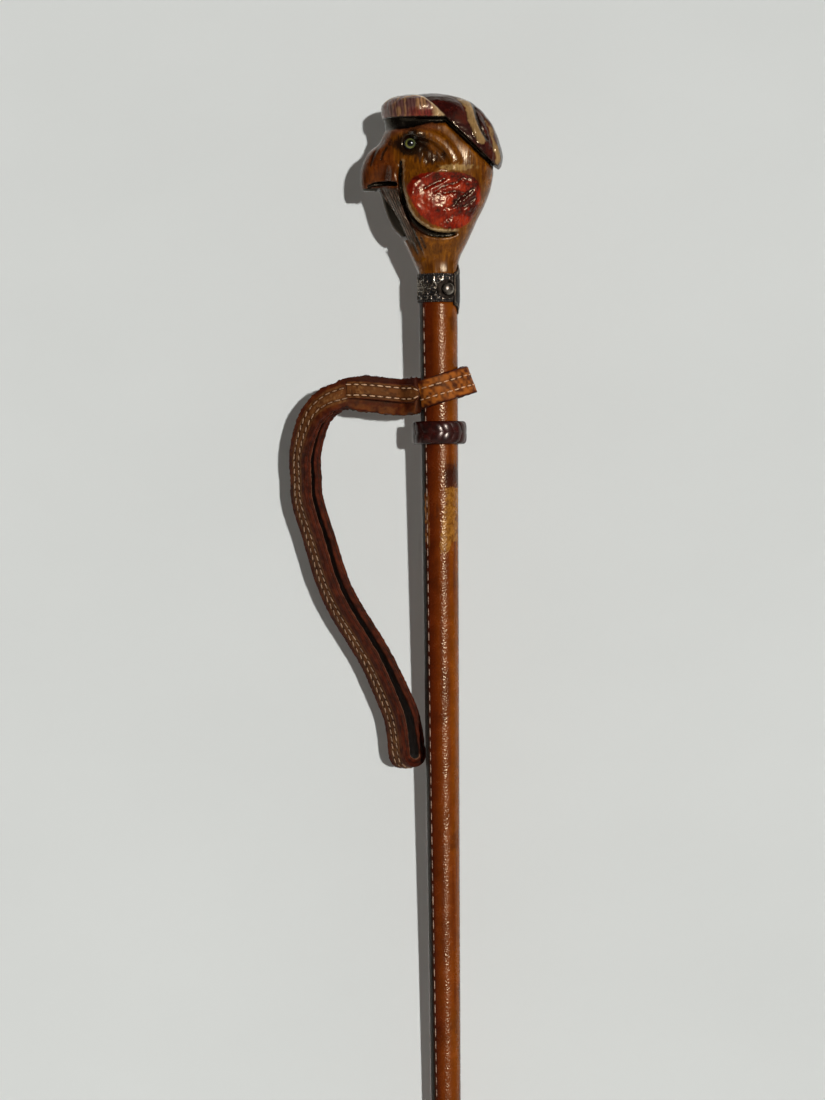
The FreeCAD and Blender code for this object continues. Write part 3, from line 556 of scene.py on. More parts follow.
def headColors(points):
    x, y, z = points.T
    flank = smoothStep(np.abs(y), 4.0, 7.0)
    rough = latticeNoise(points, 1.1, 11)
    broad = latticeNoise(points, 5.0, 12)
    fine = latticeNoise(points * (1, 1, 0.25), 0.8, 13)
    colors = plainColors("#6f3c03", points)
    paintOver(colors, "#9a5a0a", 0.5 * smoothStep(fine + 0.6 * broad, 0.1, 0.9))
    paintOver(colors, "#4b1f03", 0.55 * smoothStep(-fine - 0.5 * broad, 0.1, 0.9))
    beak = smoothStep(-x - 0.2 * (z - 850), 15.5, 20.0) * smoothStep(z, 843.0, 846.0)
    paintOver(colors, "#511b05", 0.8 * beak)
    paintOver(colors, "#74380a", 0.6 * beak * smoothStep(broad + 0.5 * rough, -0.1, 0.6))
    # painted reflection: a greyish mauve band on the forehead under the brim
    forehead = smoothStep(z - 0.1 * x, 870.5, 874.0) * smoothStep(-x, -6.0, 4.0)
    paintOver(colors, "#6e3a26", 0.7 * forehead)
    away = np.hypot((x - head["eye"][0] - 0.8) / 1.25, z - head["eye"][1] + 0.4)
    paintOver(colors, "#0d0403", flank * fallOff(away + 1.0 * rough, 4.6, 7.4) * 0.93)
    smudge = np.hypot((x + 3.0) / 8.0, (z - 859.5) / 4.2)
    paintOver(colors, "#210b04", flank * 0.85 * fallOff(smudge + 0.35 * fine, 0.45, 1.0))
    smudge = np.hypot((x + 19.5) / 3.4, (z - 866.0) / 2.8)
    paintOver(colors, "#200b05", flank * 0.8 * fallOff(smudge + 0.3 * rough, 0.5, 1.1))
    for line in beakCuts + neckCuts:
        paintOver(colors, "#160803", flank * 0.8 * fallOff(lineDistance(x, z, line)[0], 0.3, 0.9))
    paintCheek(colors, points, flank, rough, broad)
    along, within = grooveSide(x, z)
    edge = flank * fallOff(along, 0.93, 1.0)
    wide = grooveHalf(along)
    worn = smoothStep(within, wide + 0.3, wide + 0.5) * fallOff(within + 0.4 * rough, wide + 1.2, wide + 1.8)
    worn = worn * (0.45 + 0.55 * smoothStep(along, 0.3, 0.6))
    worn = worn * (0.35 + 0.65 * smoothStep(fine + broad, -0.9, 0.1))
    paintOver(colors, "#c2a271", edge * worn)
    cut = smoothStep(within, -wide - 0.9, -wide - 0.4) * fallOff(within, wide + 0.2, wide + 0.5)
    paintOver(colors, "#050302", edge * cut)
    outside = flank * smoothStep(-within, 0.6, 1.2) * fallOff(z, 845.2, 846.2)
    throat = outside * smoothStep(z + 3.5 * fine + 2.0 * rough, 812.0, 827.0)
    throat = throat * smoothStep(-x + 0.28 * (z - 822.0) + 1.2 * fine, 8.8, 13.2)
    paintOver(colors, "#37241d", 0.92 * throat)
    beside = flank * smoothStep(-within, 0.3, 0.8) * fallOff(-within, 2.0, 3.6) * smoothStep(along, 0.12, 0.3)
    paintOver(colors, "#2a0f05", 0.8 * beside * fallOff(along, 0.62, 0.72))
    low = outside * smoothStep(z + 2.5 * fine + 1.5 * rough, 814.0, 822.0)
    for line in jowls:
        paintOver(colors, "#0a0504", low * 0.9 * fallOff(lineDistance(x, z, line)[0], 0.2, 0.6))
        # painted highlight: a light line just beside each rib's cut, on the throat strip
        crest = fallOff(lineDistance(x + 0.7, z, line)[0], 0.1, 0.4)
        paintOver(colors, "#8d6d5c", throat * 0.6 * crest * smoothStep(fine, -0.5, 0.3))
    lip = smoothStep(-x, 22.0, 25.0) * smoothStep(x, -33.0, -31.5) * fallOff(z, 846.2, 846.7)
    paintOver(colors, "#33231e", 0.9 * lip)
    mouth, along = lineDistance(x, z, roundedLine(head["mouth"]))
    paintOver(colors, "#050303", fallOff(mouth - 0.35 * smoothStep(along, 0.0, 0.5), 0.6, 0.95))
    # black band below the cap: the undercut's black paint, widened by painted shade of the cap into a tall
    # band under the brim
    tall = 2.3 + 2.6 * smoothStep(-x, 2.0, 16.0)
    paintOver(colors, "#060404", smoothStep(z - seamHeight(x) + tall + 0.3 * rough, -0.3, 0.3))
    hollow = (np.abs(y) < head["slotHalf"] + 0.15) & (x < head["slotBack"] + 0.2)
    hollow = hollow & (z > head["slotFloor"] - 0.2) & (z < head["slotLip"] + 0.4)
    colors[hollow] = hexColor("#070504")[:3]
    return colors


def paintCheek(colors, points, flank, rough, broad):  # the red patch, with a painted highlight along its top
    x, y, z = points.T
    onCheek = smoothStep(cheekRed(x, z) + 0.35 * rough, -0.15, 0.2) * smoothStep(np.abs(y), 8.0, 10.0)
    # painted highlight: a pale buff streak just above the red patch
    streak = 0.5 * rough - np.hypot((x - 9.5) / 9.0, (z - 854.6) / 1.7)
    paintOver(colors, "#a8844c", flank * 0.85 * smoothStep(streak, -1.0, -0.6))
    paintOver(colors, "#821402", onCheek)
    paintOver(colors, "#a32a06", onCheek * 0.7 * smoothStep(broad + 0.4 * rough, 0.1, 0.7))
    dark = 0.65 * smoothStep(x, 0.0, 8.0) - 0.25 - broad - 0.6 * rough
    paintOver(colors, "#300502", onCheek * 0.85 * smoothStep(dark, 0.1, 0.7))
    for line in cheekCuts:
        cut = fallOff(lineDistance(x, z, line)[0] + 0.5 * rough, 0.3, 1.0)
        paintOver(colors, "#240302", onCheek * 0.7 * cut)


headMaterial = carvedLacquer("varnishedLimewood", "#6b3d14", 0.55, 0.24)
headPiece = carvedPiece("headWood", headField, head, carvedFacets, headColors, headMaterial)
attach(headPiece, "cane")
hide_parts("head_carving")
print("head:", len(headPiece.data.vertices), "points")


# Cap: carved in one with its thick brim, ox-blood lacquer worn to the wood on the ridges
cap = {
    "low": (-28.0, 0, 850.0), "high": (33.0, 22.0, 892.0), "step": 0.42, "power": 2.1,
    "crown": [(852.6, 12.0, 26.6, 14.5), (855.0, 14.5, 28.9, 16.2), (857.8, 16.9, 30.1, 17.6),
              (862.4, 18.7, 29.9, 18.9), (869.3, 20.0, 28.1, 19.1), (877.0, 20.6, 24.3, 17.9),
              (882.3, 20.4, 19.8, 15.9), (886.1, 18.2, 14.5, 12.8), (888.2, 14.0, 8.4, 9.0),
              (889.3, 8.0, 3.2, 4.6)],
    "brim": [(876.0, 24.0, 9.0, 18.6), (878.4, 25.0, 9.0, 19.5), (881.5, 25.5, 9.0, 20.0),
             (884.5, 25.0, 8.0, 19.6), (886.8, 22.6, 6.0, 17.6), (888.6, 17.0, 3.0, 13.0),
             (889.6, 10.0, 0.0, 8.0)],
    "crownTop": 889.3, "brimTop": 889.2, "underside": 877.7,
    "arc": [(-27.0, 883.0), (-24.2, 885.4), (-20.0, 887.7), (-15.3, 888.6), (-10.5, 888.5), (-6.1, 887.2),
            (-1.6, 883.8), (3.9, 878.0), (8.0, 873.5)],
    "seamGap": 0.25, "seamSteep": 1.39,
    "cuts": (-22.6, -21.4, -19.7, -18.6, -16.8, -15.3, -13.9, -12.1, -10.6, -9.4, -7.7, -6.2, -4.9, -3.2),
    "cutTop": 886.5, "cutLow": 879.0, "cutLean": 0.8,
}
ridges = [roundedLine(line) for line in (
    [(4.0, 889.0), (10.0, 887.6), (14.1, 884.0), (15.9, 878.0), (17.9, 872.0), (20.6, 866.8)],
    [(19.5, 883.2), (23.6, 878.2), (26.3, 870.6), (28.3, 862.6), (28.9, 857.6)])]
brimCuts = [[(x, cap["cutTop"]), (x + cap["cutLean"], cap["cutLow"])] for x in cap["cuts"]]


def brimEdge(x, z):  # above the brim's upper edge this is positive
    places, heights = np.array(cap["arc"]).T
    lean = np.interp(x, places, np.abs(np.gradient(heights, places)))
    return (z - tableCurve(cap["arc"], x)) / np.sqrt(1 + lean ** 2)


def capField(x, y, z):
    crown = np.maximum(ovalStack(x, y, z, cap["crown"], cap["power"]), z - cap["crownTop"])
    brim = np.maximum(ovalStack(x, y, z, cap["brim"], cap["power"]), z - cap["brimTop"])
    flat = np.broadcast_arrays(x, z)
    brim = np.maximum(smoothCut(brim, -brimEdge(*flat), 0.8), cap["underside"] - z)
    side = smoothStep(y, 3.0, 8.0)
    for line in brimCuts:
        brim = brim + side * 0.16 * bell(lineDistance(*flat, line)[0], 0.5)
    for line in ridges:
        crown = crown - side * 0.7 * bell(lineDistance(*flat, line)[0], 1.8)
        for shift, deep in ((2.3, 0.8), (-2.2, 0.35)):
            away, _ = lineDistance(flat[0] - shift, flat[1] - 0.3 * shift, line)
            crown = crown + side * deep * bell(away, 0.55)
    folds = np.sin((x * 0.75 - z * 0.55 + 0.4 * y) * 0.55)
    crown = crown + side * 0.3 * folds * fallOff(-x, -6.0, 4.0)
    steep = np.where(x > head["seamKnee"], cap["seamSteep"], 1.0)
    return np.maximum(smoothUnion(crown, brim, 0.5), (seamHeight(x) + cap["seamGap"] - z) / steep)


def capFacets(points):
    return 0.16 * latticeNoise(points, 2.6, 24) + 0.08 * latticeNoise(points, 1.1, 25)


def capColors(points):
    x, y, z = points.T
    rough = latticeNoise(points, 1.0, 21)
    broad = latticeNoise(points, 4.0, 22)
    tall = latticeNoise(points * (1, 1, 0.2), 1.1, 23)
    colors = plainColors("#300708", points)
    paintOver(colors, "#1f0505", 0.7 * smoothStep(broad + 0.3 * rough, 0.0, 0.8))
    paintOver(colors, "#52180b", 0.6 * smoothStep(-broad + 0.4 * rough, 0.1, 0.8))
    for line, wide, back in zip(ridges, (1.75, 2.1), (2.0, 6.5)):
        away, along = lineDistance(x, z, line)
        worn = fallOff(away + 0.55 * rough, wide - 0.45, wide + 0.35)
        worn = worn * smoothStep(along + 0.15 * broad, 0.05, 0.35)
        worn = worn * smoothStep(np.abs(y) + 0.6 * rough + 0.4 * back * broad, back, 1.5 * back)
        paintOver(colors, "#9b7a4c", 0.95 * worn)
        paintOver(colors, "#0a0303", 0.92 * fallOff(lineDistance(x - 2.3, z - 0.7, line)[0], 0.4, 1.1))
    fromMiddle = np.hypot(x * 0.9 + 2, y)
    onBrim = smoothStep(-brimEdge(x, z), -0.15, 0.15) * smoothStep(-x, -6.0, -4.6)
    onBrim = onBrim * smoothStep(fromMiddle, 15.5, 17.5)
    paintOver(colors, "#6f4a45", onBrim)
    buff = smoothStep(tall + 0.5 * broad, -0.15, 0.25) * smoothStep(x, -22.0, -17.0)
    paintOver(colors, "#a67b52", onBrim * 0.9 * buff)
    low = smoothStep(882.8 + 1.2 * rough - z, 0.0, 2.5) * smoothStep(x, -16.0, -9.0)
    paintOver(colors, "#741a17", onBrim * 0.85 * low)
    paintOver(colors, "#b49166", onBrim * smoothStep(x + 0.5 * rough, -2.4, -0.6))
    for line in brimCuts:
        paintOver(colors, "#2c1211", onBrim * 0.6 * fallOff(lineDistance(x, z, line)[0], 0.1, 0.5))
    rim = 0.8 * fallOff(np.abs(brimEdge(x, z) + 0.35) + 0.2 * rough, 0.2, 0.65)
    rim = rim * smoothStep(-x, -6.0, -3.0) * smoothStep(fromMiddle, 14.0, 16.0)
    paintOver(colors, "#c0a47a", rim)
    paintOver(colors, "#0a0505", fallOff(z - seamHeight(x) + 0.2 * rough, 0.45, 0.95))
    return colors


capMaterial = carvedLacquer("oxbloodLacquer", "#7a5a45", 0.35, 0.2)
capPiece = carvedPiece("capCarving", capField, cap, capFacets, capColors, capMaterial)
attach(capPiece, "cane")
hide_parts("cap")
print("cap:", len(capPiece.data.vertices), "points")


# Lower beak: blackened boxwood blade that opens out of the throat, thin at its front edge
blade = {
    "low": (-28.2, 0, 822.2), "high": (-11.0, 6.6, 846.6), "step": 0.35,
    "back": [(-14.9, 823.9), (-14.2, 829.5), (-12.6, 836.0), (-12.2, 840.8), (-13.1, 845.2)],
    "half": 5.55, "keel": 1.5, "taper": 5.0, "line": 2.4, "lineHalf": 0.35, "lineDeep": 0.22,
}
bladeFront = roundedLine([(-26.9, 845.2), (-25.8, 842.6), (-24.5, 837.6), (-22.7, 832.0), (-20.0, 827.0),
                          (-16.5, 823.5)])


def bladeField(x, y, z):
    flat = np.broadcast_arrays(x, z)
    away, _ = lineDistance(*flat, bladeFront)
    half = blade["keel"] + (blade["half"] - blade["keel"]) * np.sqrt(np.clip(away / blade["taper"], 0, 1))
    half = half - blade["lineDeep"] * bell(away - blade["line"], blade["lineHalf"])
    return smoothCut(y - half, depthInside(*flat, bladeFront + blade["back"]), 0.5)


def bladeColors(points):  # black, rubbed to brown at its front edge
    away, _ = lineDistance(points[:, 0], points[:, 2], bladeFront)
    colors = plainColors("#0c0908", points)
    paintOver(colors, "#4b3527", 0.55 * fallOff(away + 0.5 * latticeNoise(points, 0.9, 31), 0.3, 1.2))
    return colors


bladeMaterial = carvedLacquer("ebonisedBoxwood", "#4a3c34", 0.4, 0.3)
bladePiece = carvedPiece("lowerBeak", bladeField, blade, None, bladeColors, bladeMaterial)
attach(bladePiece, "beak")
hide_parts("lower_beak")


# Glass eyes: blown domes over a painted iris
glassEye = {"radius": 2.75, "dome": 1.15, "pupil": 1.5, "iris": 2.3, "depth": 1.6, "middle": 0.18,
            "rings": 16, "segments": 64}


def eyeMaterial():
    # the glass is clear and wet-looking: the iris is seen through it, with fine radial flecks
    material, tree, shader, place = newMaterial("paintedGlass")
    paint = addNode(tree, "ShaderNodeAttribute", attribute_name="paint")
    flecks = addNode(tree, "ShaderNodeTexNoise", {0: place, "Scale": 2600.0, "Detail": 3.0})
    shade = addNode(tree, "ShaderNodeMapRange", {0: flecks, 1: 0.3, 2: 0.7, 3: 0.7, 4: 1.3})
    addNode(tree, "ShaderNodeVectorMath", {0: paint.outputs["Color"], 1: shade},
            operation="MULTIPLY", feeds=shader.inputs["Base Color"])
    shader.inputs["Roughness"].default_value = 0.2
    shader.inputs["IOR"].default_value = 1.52
    return material


def glassEyePiece(node, side, material):
    low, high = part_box(node)
    cx, cz = (low[0] + high[0]) / 2 / mm, (low[2] + high[2]) / 2 / mm
    tip = max(abs(low[1]), abs(high[1])) / mm
    radii = np.append(np.linspace(glassEye["middle"], glassEye["radius"], glassEye["rings"]),
                      glassEye["radius"])
    rises = glassEye["dome"] * (1 - (radii / glassEye["radius"]) ** 2)
    rises[-1] = -glassEye["depth"]
    turns = np.linspace(0, 2 * math.pi, glassEye["segments"], endpoint=False)
    rings = []
    for radius, rise in zip(radii, rises):
        y = np.full(len(turns), side * (tip - glassEye["dome"] + rise))
        rings.append(np.stack([cx + radius * np.cos(turns), y, cz + radius * np.sin(turns)], 1))
    piece = sweptBand(node.replace("eye", "glassEye").replace("_", ""), rings, material)
    points = pointsOf(piece)
    x, y, z = points.T
    away = np.hypot(x - cx, z - cz)
    turn = np.arctan2(z - cz, side * (x - cx))
    colors = plainColors("#565729", points)
    paintOver(colors, "#7d7a34", 0.7 * smoothStep(np.cos(turn + 0.8), 0.0, 0.9))
    paintOver(colors, "#3b4326", 0.8 * smoothStep(-np.cos(turn + 0.2), 0.2, 0.9))
    paintOver(colors, "#030302", fallOff(away, glassEye["pupil"] - 0.12, glassEye["pupil"] + 0.2))
    paintOver(colors, "#0a0906", smoothStep(away, glassEye["iris"] - 0.2, glassEye["iris"] + 0.15))
    paintPiece(piece, colors)
    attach(piece, "cane")
    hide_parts(node)


wetGlass = eyeMaterial()
glassEyePiece("eye_left", -1, wetGlass)
glassEyePiece("eye_right", 1, wetGlass)
print("lower beak and eyes done")


# Collar: chased silver band, its recesses dark with old polish and tarnish
collar = {
    "low": 793.4, "high": 806.7, "radius": 9.3, "bore": 8.8, "sunk": 0.12, "relief": 0.6,
    "around": 520, "up": 84,
    "rim": 0.8, "beadHalf": 0.55, "beadPitch": 1.15,
    "scrolls": 11, "scrollReach": 2.5, "scrollPitch": 1.05, "farAway": 9.0,
    "button": (23.0, 799.385), "bushRadius": 3.85, "hole": 3.75,
}
collar["height"] = collar["high"] - collar["low"]
collar["girth"] = 2 * math.pi * collar["radius"]
shield = {
    "turn": 80.0, "half": 5.7, "rise": 4.5, "drop": 5.5, "shoulder": 0.62, "thick": 0.55, "steps": 120,
    "slimOver": 11.7, "bendRadius": 9.9, "groove": 0.78,
    "shares": [0.2, 0.4, 0.6, 0.72, 0.78, 0.81, 0.84, 0.88, 0.93, 0.97, 1.0],
    # height, and radius that it lies on there
    "seat": [(787.9, 8.9), (792.5, 9.2), (793.4, 9.5), (806.9, 9.5), (811.3, 9.2)],
}


def silverMaterial(name, dark):
    # hand-raised sterling, worn bright on the high places and left black in the hollows
    material, tree, shader, place = newMaterial(name)
    relief = addNode(tree, "ShaderNodeAttribute", attribute_name="relief")
    spots = addNode(tree, "ShaderNodeTexNoise", {0: place, "Scale": 1400.0, "Detail": 5.0,
                                                 "Roughness": 0.65})
    bright = addNode(tree, "ShaderNodeMath", {0: spots, 1: 0.5}, operation="SUBTRACT")
    worn = addNode(tree, "ShaderNodeMath", {0: bright, 1: 1.3, 2: relief.outputs["Fac"]},
                   operation="MULTIPLY_ADD")
    tone = addNode(tree, "ShaderNodeValToRGB", {0: worn},
                   stops=[(0.35, "#070404"), (0.92, "#968877"), (0.68, "#2b1d15"),
                          (1.1, "#ddd5c8")])
    toned = addNode(tree, "ShaderNodeMix", {0: 1.0, 6: tone, 7: hexColor(dark)},
                    data_type="RGBA", blend_type="MULTIPLY")
    tree.links.new(toned.outputs[2], shader.inputs["Base Color"])
    addNode(tree, "ShaderNodeMapRange", {0: worn, 1: 0.25, 2: 0.8, 3: 0.3, 4: 1.0},
            feeds=shader.inputs["Metallic"])
    addNode(tree, "ShaderNodeMapRange", {0: worn, 1: 0.25, 2: 0.9, 3: 0.55, 4: 0.22},
            feeds=shader.inputs["Roughness"])
    addNode(tree, "ShaderNodeBump", {"Height": spots, "Distance": 0.0001, "Strength": 0.6},
            feeds=shader.inputs["Normal"])
    return material


def chasing(u, v):  # relief from 0 to 1 of scrolling leaves at a place round and up the band
    girth, reach = collar["girth"], collar["scrollReach"]
    best = np.zeros(np.shape(u))
    near = np.full(np.shape(u), collar["farAway"])
    rng = np.random.default_rng(8)
    for k in range(collar["scrolls"]):
        for side, shift, lift in ((1, 0.0, 0.42), (-1, 0.5, 0.62)):
            cu = (k + shift) * girth / collar["scrolls"] + rng.uniform(-0.8, 0.8)
            cv = collar["height"] * lift + rng.uniform(-1.6, 1.6)
            du = (u - cu + girth / 2) % girth - girth / 2
            away, turn = np.hypot(du, v - cv), np.arctan2(v - cv, du)
            wave = 0.5 + 0.5 * np.cos(side * turn + 2 * math.pi * away / collar["scrollPitch"])
            scroll = np.maximum(wave, fallOff(away, 0.3, 0.75)) * fallOff(away, reach * 0.7, reach)
            best = np.where(away < near, scroll, best)
            near = np.minimum(near, away)
    r = collar["radius"]
    places = np.stack([r * np.sin(u / r), r * np.cos(u / r), v], -1).reshape(-1, 3)
    leaves = np.zeros(np.shape(u))
    for cell, seed, tall in ((1.9, 71, 1.0), (1.1, 72, 0.85)):  # crests where the noise changes sign
        crest = 1 - 3.2 * np.abs(latticeNoise(places, cell, seed).reshape(np.shape(u)))
        leaves = np.maximum(leaves, tall * np.clip(crest, 0, 1))
    return np.maximum(0.9 * best * fallOff(near, reach * 0.75, reach), leaves)


def aroundShaft(radius, turn, z):  # place at a turn from the viewer's side round towards +X
    return np.stack(np.broadcast_arrays(radius * np.sin(turn), -radius * np.cos(turn), z), -1)


def buildBand():
    turns = np.linspace(0, 2 * math.pi, collar["around"], endpoint=False)
    levels = np.linspace(0, 1, collar["up"] + 1) * collar["height"]
    v, turn = np.meshgrid(levels, turns, indexing="ij")
    u = turn * collar["radius"]
    edge = np.minimum(v, collar["height"] - v)
    bead = np.sqrt(np.clip(1 - ((edge - collar["beadHalf"]) / collar["beadHalf"]) ** 2, 0, 1))
    bead = bead * (0.6 + 0.2 * np.cos(u * 2 * math.pi / collar["beadPitch"]))
    field = smoothStep(edge, collar["rim"], collar["rim"] + 0.6)
    relief = np.where(edge < collar["rim"], bead, 0) + field * (0.1 + 0.9 * chasing(u, v))
    side, height = collar["button"]
    girth = collar["girth"]
    across = (u - math.radians(side) * collar["radius"] + girth / 2) % girth - girth / 2
    toButton = np.hypot(across, v + collar["low"] - height)
    relief = relief * smoothStep(toButton, collar["bushRadius"], collar["bushRadius"] + 0.5)
    outer = aroundShaft(collar["radius"] - collar["sunk"] + collar["relief"] * relief, turn,
                        collar["low"] + v)
    inner = aroundShaft(collar["bore"], turn, collar["low"] + v)
    hole = toButton > collar["hole"]
    hole = hole & np.roll(hole, -1, 1)
    piece, used = closedShell("collarBand", outer, inner, hole[:-1] & hole[1:],
                              silverMaterial("chasedSilver", "#ffffff"))
    markPiece(piece, "relief", np.append(relief, np.zeros(relief.size))[used])
    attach(piece, "cane")
    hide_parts("collar")


def shieldOutline(turn):  # how far out the pointed shield reaches at an angle, its shoulders hollowed
    half, rise = shield["half"], (collar["height"] + shield["rise"] + shield["drop"]) / 2
    shoulder = shield["shoulder"] * rise
    corners = [(half, shoulder), (0, rise), (-half, shoulder), (-half, -shoulder), (0, -rise),
               (half, -shoulder)]
    dx, dy = math.cos(turn), math.sin(turn)
    best = None
    for (ax, ay), (bx, by) in zip(corners, corners[1:] + corners[:1]):
        ex, ey = bx - ax, by - ay
        bottom = dx * ey - dy * ex
        if abs(bottom) < tiny:
            continue
        reach = (ax * ey - ay * ex) / bottom
        share = (ax * dy - ay * dx) / bottom
        if reach > 0 and -1e-6 <= share <= 1 + 1e-6:
            hollow = 0.1 if ex else 0.045
            best = reach * (1 - hollow * math.sin(math.pi * min(max(share, 0), 1)) ** 2)
    return best


def buildCartouche():
    middle = (collar["low"] - shield["drop"] + collar["high"] + shield["rise"]) / 2
    turns = 2 * math.pi * np.arange(shield["steps"]) / shield["steps"]
    reaches = np.array([shieldOutline(turn) for turn in turns])
    places, seats = np.array(shield["seat"]).T
    rings, marks = [], []
    for front, order in ((True, shield["shares"]), (False, shield["shares"][::-1])):
        for share in order:
            z = middle + share * reaches * np.sin(turns)
            angle = math.radians(shield["turn"]) + share * reaches * np.cos(turns) / shield["bendRadius"]
            raised = 0.28 * smoothStep(share, 0.79, 0.87) * fallOff(share, 0.96, 1.01)
            raised = raised + 0.08 * (1 - share ** 2)
            groove = 0.16 * bell(share - shield["groove"], 0.022)
            slim = 1 - 0.5 * ((z - middle) / shield["slimOver"]) ** 2
            thick = slim * (shield["thick"] + raised) - groove if front else 0
            rings.append(aroundShaft(np.interp(z, places, seats) + thick, angle, z))
            marks += [0.5 + raised - 2.0 * groove if front else 0.2] * len(turns)
    piece = sweptBand("cartouche", rings, silverMaterial("plainSilver", "#cfc8bd"))
    markPiece(piece, "relief", marks)
    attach(piece, "cane")
    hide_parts("collar_cartouche")


buildBand()
buildCartouche()
print("collar done")


# Shaft: russet calf sewn round the wood in a long lap, rubbed to buff below the ring
sleeve = {
    "radii": [(34.0, 5.5), (431.0, 6.9), (793.4, 8.9)],
    "seam": [(34.0, -22.0), (431.0, -35.0), (556.0, -42.0), (757.0, -45.0), (786.0, -46.5), (793.4, -46.5)],
    "lap": 0.42, "lapFade": 0.55, "lapTuck": -0.15, "inside": -0.7, "rows": 620,
    "stitchPitch": 5.5, "stitchLength": 4.1, "stitchThread": 0.46, "stitchFromEdge": 1.5, "pull": 0.14,
    "patchLeft": [(678.0, -0.6), (683.0, -0.4), (694.0, 0.8), (702.0, 2.0), (709.0, 2.2)],
    "patchLow": [(3.6, 678.0), (5.2, 683.0)], "patchTop": 708.9, "patchReach": 3.0,
}


def straightCurve(rows, at):  # straight from row to row of a table of two columns
    return np.interp(at, *np.array(rows).T)


def sleeveRadius(z):
    return straightCurve(sleeve["radii"], z)


def seamAngle(z):
    return np.radians(tableCurve(sleeve["seam"], z)) - sleeve["stitchFromEdge"] / sleeveRadius(z)


def leatherMaterial(name, roughness, specular):
    # vegetable-tanned calf under old wax: fine pebbled grain, pores and creases, the gloss broken by wear
    material, tree, shader, place = newMaterial(name)
    paint = addNode(tree, "ShaderNodeAttribute", attribute_name="paint")
    pebbles = addNode(tree, "ShaderNodeTexVoronoi", {0: place, "Scale": 1300.0, "Randomness": 1.0},
                      feature="SMOOTH_F1")
    clouds = addNode(tree, "ShaderNodeTexNoise", {0: place, "Scale": 120.0, "Detail": 6.0, "Roughness": 0.65})
    shade = addNode(tree, "ShaderNodeMapRange", {0: clouds, 1: 0.3, 2: 0.7, 3: 0.72, 4: 1.28})
    addNode(tree, "ShaderNodeVectorMath", {0: paint.outputs["Color"], 1: shade},
            operation="MULTIPLY", feeds=shader.inputs["Base Color"])
    wear = addNode(tree, "ShaderNodeMapRange", {0: clouds, 1: 0.3, 2: 0.7, 3: roughness - 0.04,
                                                4: roughness + 0.06})
    parts = addNode(tree, "ShaderNodeSeparateColor", {0: paint.outputs["Color"]})
    # the darkest paint, real stain in places and painted shade along the lap and on the strap's back, is left
    # without gloss
    stainAndShade = addNode(tree, "ShaderNodeMapRange", {0: parts, 1: 0.012, 2: 0.045, 3: 0.5, 4: 0.0})
    addNode(tree, "ShaderNodeMath", {0: wear, 1: stainAndShade}, operation="MAXIMUM",
            feeds=shader.inputs["Roughness"])
    shader.inputs["Specular IOR Level"].default_value = specular
    shader.inputs["Specular Tint"].default_value = warmShine
    mixed = addNode(tree, "ShaderNodeMix", {0: 0.4, 2: pebbles.outputs["Distance"], 3: clouds})
    addNode(tree, "ShaderNodeBump", {"Height": mixed, "Distance": 0.00022, "Strength": 1.0},
            feeds=shader.inputs["Normal"])
    return material


def waxedCalf():  # the sleeve's own leather, rubbed through to buff where "rubbed" is positive
    material = leatherMaterial("waxedCalf", 0.24, 0.32)
    tree = material.node_tree
    shader = tree.nodes["Principled BSDF"]
    whole = shader.inputs["Base Color"].links[0].from_socket
    place = tree.nodes["Texture Coordinate"].outputs["Object"]
    rubbed = addNode(tree, "ShaderNodeAttribute", attribute_name="rubbed")
    ragged = addNode(tree, "ShaderNodeTexNoise", {0: place, "Scale": 620.0, "Detail": 6.0,
                                                  "Roughness": 0.65})
    border = addNode(tree, "ShaderNodeMath", {0: ragged, 1: 4.2, 2: rubbed.outputs["Fac"]},
                     operation="MULTIPLY_ADD")
    mask = addNode(tree, "ShaderNodeMapRange", {0: border, 1: 2.2, 2: 2.7, 3: 0.0, 4: 0.95})
    blotch = addNode(tree, "ShaderNodeTexNoise", {0: place, "Scale": 430.0, "Detail": 6.0,
                                                  "Roughness": 0.7})
    buff = addNode(tree, "ShaderNodeValToRGB", {0: blotch},
                   stops=[(0.36, "#5c2f0c"), (0.5, "#875417"), (0.68, "#a8712c")])
    worn = addNode(tree, "ShaderNodeMix", {0: mask, 6: whole, 7: buff}, data_type="RGBA")
    tree.links.new(worn.outputs[2], shader.inputs["Base Color"])
    return material


def threadMaterial(name, light, dark):
    # waxed linen thread, its twist drawn as fine slanted bands, darker in the twist's hollows and in random
    # patches
    material, tree, shader, place = newMaterial(name)
    twist = addNode(tree, "ShaderNodeTexWave", {0: place, "Scale": 420.0, "Distortion": 2.0},
                    bands_direction="DIAGONAL")
    soil = addNode(tree, "ShaderNodeTexNoise", {0: place, "Scale": 260.0, "Detail": 3.0})
    mixed = addNode(tree, "ShaderNodeMath", {0: twist.outputs[1], 1: 0.25, 2: soil},
                    operation="MULTIPLY_ADD")
    addNode(tree, "ShaderNodeValToRGB", {0: mixed}, stops=[(0.35, dark), (0.7, light)],
            feeds=shader.inputs["Base Color"])
    shader.inputs["Roughness"].default_value = 0.6
    addNode(tree, "ShaderNodeBump", {"Height": twist.outputs[1], "Distance": 0.00008},
            feeds=shader.inputs["Normal"])
    return material


def newTree(name, labels):  # geometry nodes that follow the edges of a mesh, with the numbers named as inputs
    tree = bpy.data.node_groups.new(name, "GeometryNodeTree")
    tree.interface.new_socket("Geometry", in_out="INPUT", socket_type="NodeSocketGeometry")
    for label in labels:
        tree.interface.new_socket(label, in_out="INPUT", socket_type="NodeSocketFloat")
    tree.interface.new_socket("Geometry", in_out="OUTPUT", socket_type="NodeSocketGeometry")
    given = addNode(tree, "NodeGroupInput")
    path = addNode(tree, "GeometryNodeMeshToCurve", {0: given.outputs["Geometry"]})
    return tree, given, path.outputs[0]


